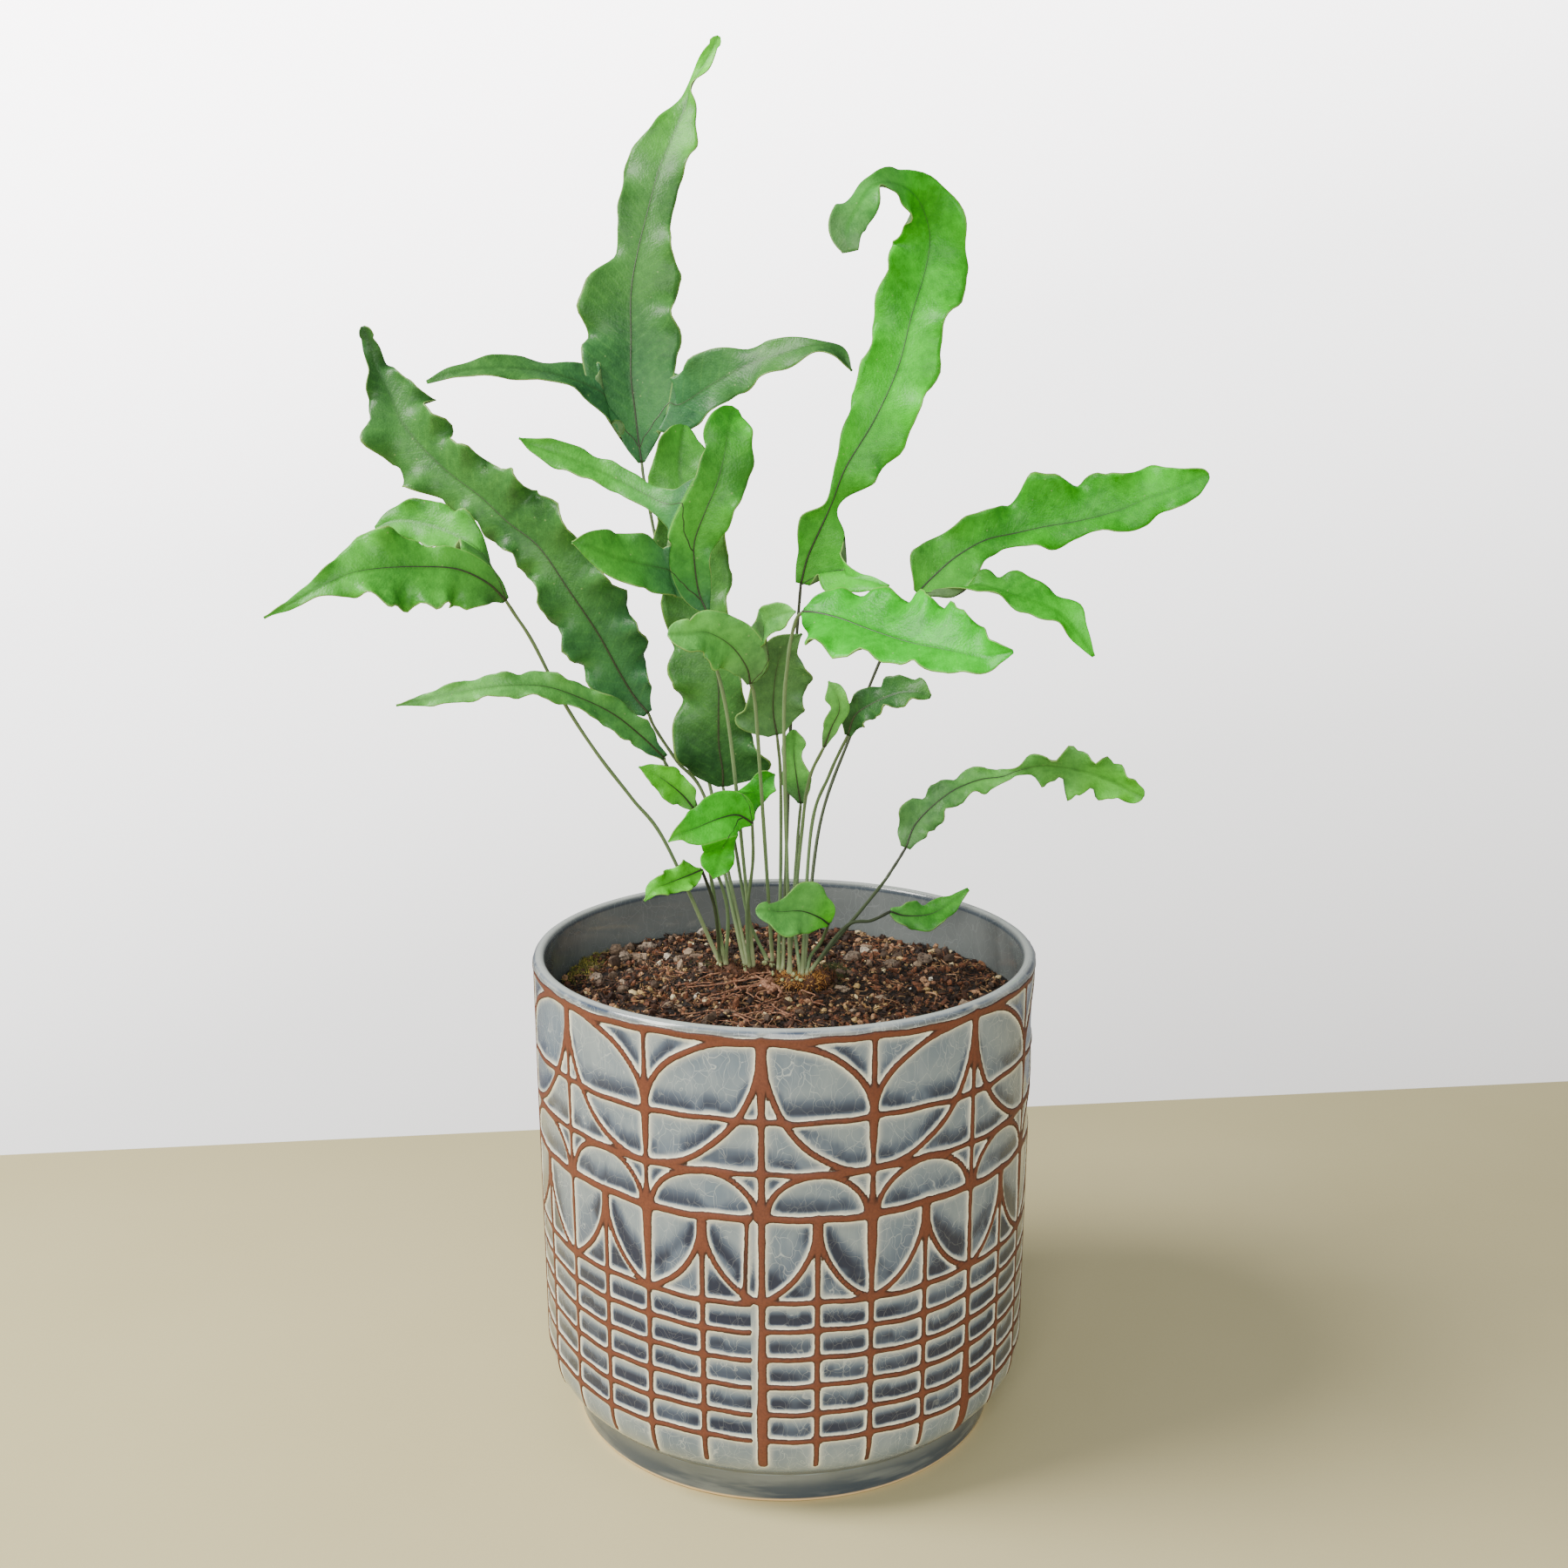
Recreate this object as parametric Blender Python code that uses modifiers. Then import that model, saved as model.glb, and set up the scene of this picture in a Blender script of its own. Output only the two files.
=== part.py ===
"""A potted fern: a glazed turned planter, its soil, a creeping rhizome in two lengths, and twenty fronds.

Millimetres are written as n * MM. +Z is up, and the origin is the middle of the pot's foot, on the table.
A frond's heights are measured from the top of the soil at the crown, so the plant follows its pot.
"""

import math

import bpy
import numpy as np
from mathutils import Vector

MM = 0.001

# Pot
POT_HEIGHT = 145 * MM
RIM_RADIUS = 75 * MM
BODY_INSET = 0.4 * MM  # how far the body stands in from the rim, at its top
BODY_TAPER = 1 * MM  # how much narrower the body is at its foot end
LIP_THICKNESS = 3.6 * MM
WALL_THICKNESS = 5.6 * MM  # at the bottom of the wall
FLOOR_THICKNESS = 9 * MM
FOOT_RADIUS = 64.4 * MM
FOOT_HEIGHT = 11 * MM
SHOULDER_HEIGHT = 15 * MM  # the turned-in curve between the straight wall and the foot
INNER_FILLET = 4 * MM
TURNING_STEPS = 48

# Soil
SOIL_BELOW_RIM = 15 * MM  # at the crown
SOIL_MOUND = 1.5 * MM  # fall from the crown to the wall
CLEARANCE = 0.3 * MM  # gap between pieces that touch

# Plant
RHIZOME_RADIUS = 3.5 * MM
STIPE_RADIUS = 0.8 * MM
BLADE_THICKNESS = 0.8 * MM
BLADE_FOLD = 0.12  # rise of each margin above the midrib, as a share of the half-width
BLADE_GAP = 0.9 * MM  # between the end of a stipe and the base of its blade
NARROWEST = 0.5 * MM  # half-width of a blade at its tip
ROOT_RADIUS = 0.6 * MM

GLAZE = (0.42, 0.47, 0.50)
SOIL_BROWN = (0.10, 0.055, 0.035)
RHIZOME_BROWN = (0.42, 0.23, 0.10)
ROOT_RED = (0.30, 0.11, 0.07)
STIPE_GREEN = (0.20, 0.27, 0.12)
BLADE_GREEN = (0.13, 0.38, 0.10)
STONE_GREY = (0.42, 0.38, 0.35)

# Rhizomes: (x, y) along each, in mm. They creep over the soil, so their height is the soil's.
RHIZOMES = {
    "rhizome_left": [(-21, 12), (-15, 7), (-8, 6), (-3, 11)],
    "rhizome_right": [(-2, 2), (3, -3), (9, -3), (14, 3)],
}

# Roots that run over the soil: (x, y) along each, in mm.
SURFACE_ROOTS = {
    "surface_root_1": [(-8, -3), (-14, -9), (-16, -19), (-11, -28), (-13, -37)],
    "surface_root_2": [(0, -9), (-3, -17), (3, -25), (1, -34)],
    "surface_root_3": [(-25, 16), (-31, 12), (-38, 14), (-44, 9)],
}

# Stones on the soil: (x, y, length, width, height, turn in degrees), sizes in mm.
STONES = {
    "stone_1": (-45, 43, 8, 6, 5, 20),
    "stone_2": (-51, 28, 7, 5.5, 4.5, 75),
    "stone_3": (-58, 9, 6.5, 5, 4, 110),
    "stone_4": (22, 31, 8, 6, 4.5, 40),
    "stone_5": (34, 26, 6, 5, 4, 0),
    "stone_6": (45, 29, 7.5, 6, 5, 150),
}

# Fronds, in mm. "root" is the rhizome that the stipe grows from, and how far along it.
# "stipe" is the stipe's route, upwards. A blade's stations run from its base to its tip, and each is
# (x, y, z, half-width to the left, half-width to the right, turn of the face in degrees).
# A lobe is (side, the first of the three blade stations that it grows from, its own stations).
FRONDS = {
    "frond_01": {  # tall
        "root": ("rhizome_left", 0.52),
        "stipe": [
            (-17, 11, 46), (-28, 14, 88), (-35, 17, 119), (-41, 19, 150),
        ],
        "blade": [
            (-42, 20, 157, 1, 1, 0), (-43, 21, 164, 5, 6.5, 0), (-44, 22, 173, 9.5, 10.5, 0),
            (-45, 23, 182, 13, 13, 0), (-45, 26, 193, 14, 14, -5), (-45, 29, 206, 13, 13.5, -5),
            (-43, 32, 218, 6.5, 12, -10), (-40, 35, 230, 9, 7, -10), (-37, 38, 241, 10.5, 9, -15),
            (-33, 41, 251, 8, 8.5, -20), (-29, 43, 260, 4, 4.5, -30), (-27, 43, 266, 2.5, 2.5, -60),
            (-23, 42, 272, 2.5, 2.5, -20), (-19, 41, 279, 0.5, 0.5, 0),
        ],
        "lobes": [
            ("left", 1, [
                (-53, 19, 177, 6.5, 6.5, 35), (-65, 14, 182, 5.5, 5.5, 50), (-79, 8, 184, 5, 5, 50),
                (-92, 4, 183, 2.5, 2.5, 40), (-101, 2, 180, 0.5, 0.5, 20),
            ]),
            ("right", 1, [
                (-30, 19, 174, 8, 8, -15), (-20, 14, 180, 9, 7, -20), (-10, 9, 185, 5.5, 7, -25),
                (0, 4, 188, 4.5, 6.5, -35), (9, 0, 190, 2.5, 3.5, -45), (15, -2, 188, 2.5, 2.5, -30),
                (19, -3, 183, 0, 0, 0),
            ]),
        ],
    },
    "frond_02": {  # big dark left
        "root": ("rhizome_left", 0.42),
        "stipe": [
            (-19, 9, 32), (-23, 8, 56), (-32, 6, 70), (-38, 4, 80),
        ],
        "blade": [
            (-40, 3, 85, 1.5, 1.5, 0), (-44, 3, 90, 5.5, 5.5, 0), (-48, 2, 97, 8.5, 9, 5),
            (-54, 0, 109, 10.5, 12, 10), (-62, -2, 122, 9, 11.5, 10), (-70, -2, 134, 7.5, 11, 5),
            (-79, 0, 141, 7, 13, 0), (-87, 3, 148, 7, 11, -5), (-97, 7, 155, 9, 9.5, -5),
            (-105, 11, 162, 10.5, 10, -5), (-111, 14, 169, 10, 10.5, 0), (-115, 17, 177, 6.5, 7.5, 10),
            (-119, 19, 184, 2.5, 3.5, 20), (-120, 19, 190, 2.5, 2.5, 0), (-122, 18, 196, 0.5, 0.5, 0),
        ],
        "lobes": [],
    },
    "frond_03": {  # left arching
        "root": ("rhizome_left", 0.0),
        "stipe": [
            (-26, 3, 34), (-35, -3, 47), (-44, -10, 62), (-53, -18, 77), (-61, -26, 93),
            (-68, -34, 111), (-72, -38, 119),
        ],
        "blade": [
            (-74, -40, 123, 1, 1, 20), (-78, -44, 128, 7, 3.5, 30), (-85, -48, 132, 10.5, 5, 30),
            (-94, -52, 133, 11.5, 6, 30), (-103, -56, 133, 11, 9.5, 30), (-110, -59, 132, 7.5, 6, 30),
            (-117, -61, 129, 3, 2.5, 20), (-124, -62, 125, 1.5, 1.5, 10), (-132, -62, 121, 0, 0, 0),
        ],
        "lobes": [
            ("right", 0, [
                (-82, -38, 137, 6.5, 5.5, 35), (-91, -33, 141, 6.5, 6.5, 30),
                (-100, -29, 143, 5.5, 5.5, 30), (-106, -27, 143, 4, 3.5, 30),
                (-111, -26, 141, 0.5, 0.5, 30),
            ]),
        ],
    },
    "frond_04": {  # narrow left
        "root": ("rhizome_left", 0.22),
        "stipe": [
            (-17, -2, 35), (-25, -12, 59), (-33, -18, 73),
        ],
        "blade": [
            (-34, -19, 76, 1, 1, 30), (-40, -23, 83, 3.5, 3.5, 30), (-47, -28, 90, 4.5, 4, 30),
            (-55, -32, 95, 3.5, 3.5, 30), (-64, -36, 99, 4, 4, 30), (-73, -39, 100, 3.5, 3.5, 30),
            (-84, -41, 99, 3, 3, 20), (-94, -42, 97, 2, 2, 10), (-104, -42, 95, 0, 0, 0),
        ],
        "lobes": [],
    },
    "frond_05": {  # blue-green three-lobed
        "root": ("rhizome_left", 0.7),
        "stipe": [
            (-11, -8, 45), (-15, -20, 81), (-19, -28, 105), (-21, -30, 116),
        ],
        "blade": [
            (-21, -31, 119, 1, 1, 0), (-23, -31, 124, 4.5, 3.5, 0), (-24, -32, 131, 6.5, 4, 0),
            (-24, -33, 138, 7, 6, 0), (-21, -34, 146, 6.5, 7, 0), (-18, -34, 153, 6, 8, 5),
            (-16, -33, 160, 6, 7.5, 5), (-15, -31, 167, 6, 7, 10), (-14, -29, 171, 4, 4, 10),
            (-13, -28, 173, 1, 1, 10),
        ],
        "lobes": [
            ("left", 1, [
                (-32, -36, 131, 7.5, 5.5, 20), (-39, -41, 133, 7.5, 8, 25),
                (-45, -45, 135, 5.5, 7, 25), (-51, -48, 138, 3, 4, 20), (-55, -49, 139, 0, 0, 15),
            ]),
            ("left", 3, [
                (-32, -31, 148, 4, 4, 10), (-41, -26, 152, 3.5, 3.5, 30), (-50, -22, 156, 4.5, 4, 45),
                (-60, -20, 160, 4.5, 4, 40), (-68, -20, 163, 2, 2, 20), (-72, -21, 165, 0, 0, 10),
            ]),
        ],
    },
    "frond_06": {  # tall right
        "root": ("rhizome_right", 0.135),
        "stipe": [
            (0, 8, 41), (2, 13, 80), (4, 15, 109),
        ],
        "blade": [
            (5, 14, 122, 1.5, 2.5, 0), (7, 13, 130, 3.5, 11.5, 5), (11, 12, 139, 7, 7.5, 10),
            (14, 12, 146, 2.5, 3, 50), (18, 12, 156, 3.5, 9, 10), (26, 13, 169, 8.5, 10.5, 0),
            (33, 16, 184, 10, 11, -5), (37, 19, 199, 10.5, 10.5, -5), (41, 22, 212, 11.5, 12.5, -5),
            (42, 22, 222, 9.5, 10.5, 0), (38, 17, 231, 7.5, 7.5, 5), (31, 8, 234, 4.5, 4.5, 20),
            (24, -2, 232, 3.5, 3.5, 40), (20, -9, 226, 5.5, 5, 20), (17, -13, 220, 5, 5, 10),
            (18, -14, 214, 2, 2.5, 0),
        ],
        "lobes": [
            ("right", 0, [
                (19, 6, 125, 2.5, 6.5, -30), (25, 0, 124, 1.5, 4, -35), (30, -4, 123, 0.5, 0.5, -30),
            ]),
        ],
    },
    "frond_07": {  # bright front right
        "root": ("rhizome_right", 0.32),
        "stipe": [
            (1, -12, 46), (0, -30, 83), (1, -42, 107), (3, -46, 118),
        ],
        "blade": [
            (5, -48, 121, 1, 1, -20), (9, -52, 121, 6.5, 6.5, -35), (15, -57, 120, 10, 13, -40),
            (22, -63, 118, 12.5, 12.5, -40), (31, -71, 116, 13, 8, -40),
            (40, -78, 115, 10.5, 7.5, -40), (48, -83, 114, 6, 5.5, -35), (52, -86, 115, 3, 2.5, -30),
            (55, -88, 116, 0.5, 0.5, -20),
        ],
        "lobes": [],
    },
    "frond_08": {  # right ascending
        "root": ("rhizome_right", 0.58),
        "stipe": [
            (5, 14, 23), (11, 22, 46), (21, 30, 74), (32, 34, 101),
        ],
        "blade": [
            (41, 34, 117, 1.5, 1.5, -10), (46, 35, 122, 9, 9, -10), (53, 36, 128, 9, 9, -15),
            (62, 37, 133, 7.5, 5.5, -20), (71, 38, 135, 10, 4, -20), (80, 38, 137, 14, 8, -20),
            (91, 37, 139, 12.5, 4.5, -20), (102, 36, 142, 11, 7, -20), (111, 34, 146, 9.5, 6.5, -15),
            (119, 32, 149, 6.5, 5.5, -10), (125, 30, 152, 3.5, 3.5, -5), (128, 29, 153, 0.5, 0.5, 0),
        ],
        "lobes": [
            ("right", 0, [
                (58, 28, 120, 6, 4.5, -55), (65, 23, 119, 6.5, 5, -60), (75, 19, 116, 6.5, 5.5, -55),
                (82, 17, 113, 7, 4.5, -40), (88, 16, 107, 3, 3, -20), (93, 16, 100, 0.5, 0.5, 0),
            ]),
        ],
    },
    "frond_09": {  # far right low
        "root": ("rhizome_right", 0.97),
        "stipe": [
            (18, 22, 15), (29, 31, 22), (35, 36, 29),
        ],
        "blade": [
            (39, 38, 35, 1.5, 1.5, -10), (42, 40, 42, 6, 5.5, -20), (48, 42, 48, 5, 5.5, -35),
            (55, 43, 53, 4, 4.5, -40), (63, 44, 56, 4, 4.5, -35), (70, 44, 57, 2.5, 2.5, -30),
            (75, 44, 59, 1.5, 1.5, 0), (83, 43, 61, 5.5, 6.5, 40), (94, 41, 60, 8, 8.5, 35),
            (104, 39, 57, 6.5, 6, 30), (110, 37, 54, 3, 3, 20), (114, 36, 52, 0.5, 0.5, 10),
        ],
        "lobes": [],
    },
    "frond_10": {  # small right leaf
        "root": ("rhizome_right", 0.88),
        "stipe": [
            (19, 11, 17), (27, 14, 18),
        ],
        "blade": [
            (33, 17, 20, 1, 1, -30), (38, 19, 18, 4, 4, -35), (46, 21, 18, 4, 5, -35),
            (52, 23, 21, 2.5, 3, -30), (58, 25, 25, 0.5, 0.5, -20),
        ],
        "lobes": [],
    },
    "frond_11": {  # round low front
        "root": ("rhizome_right", 0.68),
        "stipe": [
            (8, -3, 12), (11, -8, 18),
        ],
        "blade": [
            (13, -16, 26, 1, 1, 20), (10, -19, 29, 4, 6.5, 25), (5, -23, 32, 7, 8, 30),
            (-1, -27, 33, 7, 3.5, 30), (-5, -29, 34, 3.5, 1.5, 30), (-8, -30, 34, 0.5, 0.5, 30),
        ],
        "lobes": [],
    },
    "frond_12": {  # small left wavy
        "root": ("rhizome_left", 0.12),
        "stipe": [
            (-20, -2, 21), (-21, -6, 30),
        ],
        "blade": [
            (-24, -11, 41, 0.5, 0.5, 20), (-28, -14, 40, 4, 4, 25), (-33, -18, 39, 3.5, 3.5, 25),
            (-37, -21, 38, 2.5, 2.5, 20), (-40, -23, 35, 0, 0, 10),
        ],
        "lobes": [],
    },
    "frond_13": {  # pale small
        "root": ("rhizome_left", 0.32),
        "stipe": [
            (-17, -4, 28), (-22, -12, 47),
        ],
        "blade": [
            (-26, -17, 61, 1, 1, 10), (-29, -18, 65, 3.5, 4, 10), (-33, -20, 69, 4, 4.5, 15),
            (-37, -21, 72, 2.5, 3, 15), (-41, -22, 74, 0, 0, 10),
        ],
        "lobes": [],
    },
    "frond_14": {  # bright small
        "root": ("rhizome_left", 0.6),
        "stipe": [
            (-11, -6, 26), (-9, -17, 45),
        ],
        "blade": [
            (-9, -23, 58, 1, 1, 20), (-13, -26, 61, 5.5, 6, 25), (-18, -30, 61, 6, 7, 25),
            (-25, -34, 59, 5, 4.5, 20), (-29, -36, 58, 2, 2, 15), (-32, -37, 56, 0, 0, 10),
        ],
        "lobes": [],
    },
    "frond_15": {  # pale folded
        "root": ("rhizome_left", 0.92),
        "stipe": [
            (-8, -14, 47), (-7, -32, 81), (-8, -40, 97),
        ],
        "blade": [
            (-9, -42, 101, 1, 1, 10), (-10, -45, 106, 3.5, 6, 10), (-14, -48, 112, 7.5, 7, 15),
            (-20, -52, 116, 7, 5.5, 20), (-25, -55, 116, 4.5, 3, 20), (-30, -57, 116, 0, 0, 20),
        ],
        "lobes": [
            ("right", 0, [
                (-5, -50, 118, 3.5, 5, -10), (0, -54, 121, 3, 3.5, -25), (3, -57, 122, 0, 0, -30),
            ]),
        ],
    },
    "frond_16": {  # heart underside
        "root": ("rhizome_right", 0.02),
        "stipe": [
            (-1, -2, 38), (-1, -10, 68),
        ],
        "blade": [
            (-2, -15, 82, 2.5, 2.5, 0), (-3, -16, 88, 11, 7.5, 0), (-3, -18, 94, 7, 9, 5),
            (-2, -20, 102, 6.5, 9.5, 5), (0, -22, 108, 4.5, 5, 0), (5, -24, 112, 0, 0, 0),
        ],
        "lobes": [],
    },
    "frond_17": {  # long broad behind
        "root": ("rhizome_left", 0.82),
        "stipe": [
            (-11, 6, 22), (-15, 1, 48),
        ],
        "blade": [
            (-18, -2, 64, 1.5, 1.5, 0), (-18, -3, 69, 10, 12.5, 0), (-19, -4, 77, 12.5, 11, -5),
            (-19, -5, 86, 12, 8, -5), (-19, -5, 95, 12.5, 7.5, -5), (-21, -4, 106, 12.5, 7, -5),
            (-24, -1, 118, 10.5, 8.5, 0), (-26, 2, 131, 10.5, 10.5, 0), (-28, 5, 143, 9.5, 11, 5),
            (-30, 8, 154, 8.5, 8.5, 5), (-30, 10, 162, 7, 7, 10), (-29, 12, 168, 1, 1, 10),
        ],
        "lobes": [],
    },
    "frond_18": {  # narrow dark
        "root": ("rhizome_right", 0.4),
        "stipe": [
            (3, 4, 23), (4, 4, 45),
        ],
        "blade": [
            (5, 2, 58, 1, 1, -20), (4, 1, 65, 5, 5, -25), (3, 0, 73, 3.5, 3, -20),
            (3, -1, 78, 3, 3.5, -15), (3, -2, 81, 0.5, 0.5, -10),
        ],
        "lobes": [],
    },
    "frond_19": {  # underside below front right leaf
        "root": ("rhizome_right", 0.5),
        "stipe": [
            (5, -1, 27), (8, -6, 52), (13, -14, 70),
        ],
        "blade": [
            (18, -21, 83, 1, 1, -10), (20, -23, 89, 3.5, 4, -15), (25, -26, 93, 4.5, 4.5, -40),
            (31, -29, 96, 4.5, 4.5, -45), (36, -32, 97, 4, 4, -40), (40, -34, 96, 0.5, 0.5, -30),
        ],
        "lobes": [],
    },
    "frond_20": {  # small drooping below bright front leaf
        "root": ("rhizome_right", 0.22),
        "stipe": [
            (2, -5, 31), (5, -15, 52), (7, -26, 71),
        ],
        "blade": [
            (11, -33, 82, 0.5, 0.5, 10), (13, -35, 88, 2.5, 2, 5), (15, -37, 93, 2.5, 2.5, 0),
            (14, -38, 98, 3, 2.5, -5), (12, -38, 101, 0, 0, -10),
        ],
        "lobes": [],
    },
}


def material(name, colour, roughness):
    """A plain Principled material."""
    made = bpy.data.materials.new(name)
    made.use_nodes = True
    shader = made.node_tree.nodes["Principled BSDF"]
    shader.inputs["Base Color"].default_value = (*colour, 1)
    shader.inputs["Roughness"].default_value = roughness
    shader.inputs["Metallic"].default_value = 0
    return made


def mesh_object(name, points, edges, faces):
    """An object of these points, in the fern's collection."""
    mesh = bpy.data.meshes.new(name)
    mesh.from_pydata([tuple(p) for p in points], edges, faces)
    made = bpy.data.objects.new(name, mesh)
    fern.objects.link(made)
    return made


def turned(name, profile):
    """A solid of revolution about Z. The profile runs from the axis back to the axis, outer side downwards."""
    points = [(radius, 0, height) for radius, height in profile]
    edges = [(i, i + 1) for i in range(len(points) - 1)]
    made = mesh_object(name, points, edges, [])
    screw = made.modifiers.new("Turn", "SCREW")
    screw.steps = screw.render_steps = TURNING_STEPS
    screw.use_merge_vertices = True
    screw.merge_threshold = 0.0001
    screw.use_smooth_shade = True
    return made


def tube(name, points, radius):
    """A round rod with closed ends along these points."""
    curve = bpy.data.curves.new(name, "CURVE")
    curve.dimensions = "3D"
    curve.bevel_depth = radius
    curve.bevel_resolution = 2
    curve.use_fill_caps = True
    spline = curve.splines.new("POLY")
    spline.points.add(len(points) - 1)
    for end, point in zip(spline.points, points):
        end.co = (*point, 1)
    made = bpy.data.objects.new(name, curve)
    fern.objects.link(made)
    return made


def smooth(points, between):
    """A Catmull-Rom curve through the points, with this many steps between each two."""
    route = [Vector(p) for p in points]
    ends = [2 * route[0] - route[1], *route, 2 * route[-1] - route[-2]]
    found = []
    for before, start, end, after in zip(ends, ends[1:], ends[2:], ends[3:]):
        for step in range(between):
            t = step / between
            found.append(
                0.5
                * (
                    2 * start
                    + (end - before) * t
                    + (2 * before - 5 * start + 4 * end - after) * t**2
                    + (3 * start - before - 3 * end + after) * t**3
                )
            )
    return [*found, route[-1]]


def arc(centre, radii, start, end, steps):
    """Points of an ellipse's arc about the centre, from one angle in degrees to the other."""
    angles = [math.radians(start + (end - start) * i / steps) for i in range(steps + 1)]
    return [(centre[0] + radii[0] * math.cos(a), centre[1] + radii[1] * math.sin(a)) for a in angles]


def pot_profile():
    """The pot's section: floor, inner wall, rounded lip, straight body, turned-in shoulder and foot."""
    lip_top = POT_HEIGHT - LIP_THICKNESS / 2
    lip_middle = RIM_RADIUS - LIP_THICKNESS / 2
    inner_bottom = RIM_RADIUS - BODY_INSET - BODY_TAPER - WALL_THICKNESS
    body_top = RIM_RADIUS - BODY_INSET
    body_bottom = body_top - BODY_TAPER
    shoulder_top = FOOT_HEIGHT + SHOULDER_HEIGHT
    shoulder = (body_bottom - FOOT_RADIUS - 1 * MM, SHOULDER_HEIGHT)
    fillet = arc((inner_bottom - INNER_FILLET, FLOOR_THICKNESS + INNER_FILLET), (INNER_FILLET,) * 2, -90, 0, 3)
    lip = arc((lip_middle, lip_top), (LIP_THICKNESS / 2,) * 2, 180, 0, 6)
    under = arc((body_bottom - shoulder[0], shoulder_top), shoulder, 0, -90, 5)
    foot = [(FOOT_RADIUS, FOOT_HEIGHT - 1 * MM), (FOOT_RADIUS, 0.6 * MM), (FOOT_RADIUS - 0.6 * MM, 0)]
    return [
        (0, FLOOR_THICKNESS),
        *fillet,
        *lip,
        (body_top, POT_HEIGHT - 5 * MM),
        *under,
        *foot,
        (0, 0),
    ]


def inner_radius(height):
    """The inside radius of the pot at this height, on the straight run from its floor fillet to its lip."""
    inner_bottom = RIM_RADIUS - BODY_INSET - BODY_TAPER - WALL_THICKNESS
    low = FLOOR_THICKNESS + INNER_FILLET
    share = (height - low) / (POT_HEIGHT - LIP_THICKNESS / 2 - low)
    return inner_bottom + share * (RIM_RADIUS - LIP_THICKNESS - inner_bottom)


def soil_height(x, y):
    """The top of the soil: level with the crown in the middle, and falling a little towards the wall."""
    across = math.hypot(x, y) / inner_radius(SOIL_TOP)
    return SOIL_TOP - SOIL_MOUND * across**2


def soil_profile():
    """The soil's section: the mound, the side along the pot's wall, and the bottom on its floor."""
    edge_height = SOIL_TOP - SOIL_MOUND
    edge = inner_radius(edge_height) - 2 * CLEARANCE
    low = FLOOR_THICKNESS + INNER_FILLET
    shares = [0, 0.35, 0.6, 0.8, 1]
    mound = [(edge * s, soil_height(edge * s, 0)) for s in shares]
    bottom = FLOOR_THICKNESS + CLEARANCE
    side = inner_radius(low) - 2 * CLEARANCE
    return [*mound, (side, low + CLEARANCE), (side - INNER_FILLET, bottom), (0, bottom)]


def facing(tangent, turn):
    """The direction that a blade's upper face looks in: to the front, turned about its midrib."""
    front = Vector((0, -1, 0))
    level = (front - tangent * front.dot(tangent)).normalized()
    angle = math.radians(turn)
    return level * math.cos(angle) + tangent.cross(level) * math.sin(angle)


def rows_of(stations, before=None):
    """Three points for each station: left margin, midrib, right margin."""
    middles = [Vector((s[0] * MM, s[1] * MM, s[2] * MM + SOIL_TOP)) for s in stations]
    route = middles if before is None else [before, *middles]
    first = len(route) - len(middles)
    rows = []
    for i, (station, middle) in enumerate(zip(stations, middles), first):
        tangent = (route[min(i + 1, len(route) - 1)] - route[max(i - 1, 0)]).normalized()
        up = facing(tangent, station[5])
        right = tangent.cross(up)
        left_width = max(station[3] * MM, NARROWEST)
        right_width = max(station[4] * MM, NARROWEST)
        rows.append((
            middle - right * left_width + up * left_width * BLADE_FOLD,
            middle,
            middle + right * right_width + up * right_width * BLADE_FOLD,
        ))
    return rows


def blade(name, frond):
    """One sheet for the blade and its lobes, each lobe growing from a stretch of the margin."""
    points = []
    faces = []

    def add_strip(corners, rows):
        for row in rows:
            start = len(points)
            points.extend(row)
            grown = [start, start + 1, start + 2]
            for a, b in ((0, 1), (1, 2)):
                faces.append((corners[a], corners[b], grown[b], grown[a]))
            corners = grown

    middle_rows = rows_of(frond["blade"])
    points.extend(middle_rows[0])
    add_strip([0, 1, 2], middle_rows[1:])
    for side, first, stations in frond["lobes"]:
        margin = 0 if side == "left" else 2
        corners = [3 * (first + i) + margin for i in range(3)]
        if side == "right":
            corners.reverse()
        add_strip(corners, rows_of(stations, before=points[corners[1]]))
    made = mesh_object(name, points, [], faces)
    shell = made.modifiers.new("Thickness", "SOLIDIFY")
    shell.thickness = BLADE_THICKNESS
    shell.offset = 0
    return made


def rhizome_route(name):
    """The middle line of a rhizome, lying on the soil."""
    lift = RHIZOME_RADIUS + CLEARANCE
    corners = [(x * MM, y * MM, soil_height(x * MM, y * MM) + lift) for x, y in RHIZOMES[name]]
    return smooth(corners, 4)


def stipe_route(frond):
    """From just off the rhizome's surface to just below the blade."""
    rhizome, share = frond["root"]
    line = rhizome_route(rhizome)
    place = share * (len(line) - 1)
    low = min(int(place), len(line) - 2)
    middle = line[low].lerp(line[low + 1], place - low)
    along = (line[low + 1] - line[low]).normalized()
    route = [Vector((x * MM, y * MM, z * MM + SOIL_TOP)) for x, y, z in frond["stipe"]]
    away = route[0] - middle
    outward = (away - along * away.dot(along)).normalized()
    start = middle + outward * (RHIZOME_RADIUS + STIPE_RADIUS)
    x, y, z = frond["blade"][0][:3]
    base = Vector((x * MM, y * MM, z * MM + SOIL_TOP))
    end = base - (base - route[-1]).normalized() * BLADE_GAP
    return smooth([start, *route, end], 2)


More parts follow.
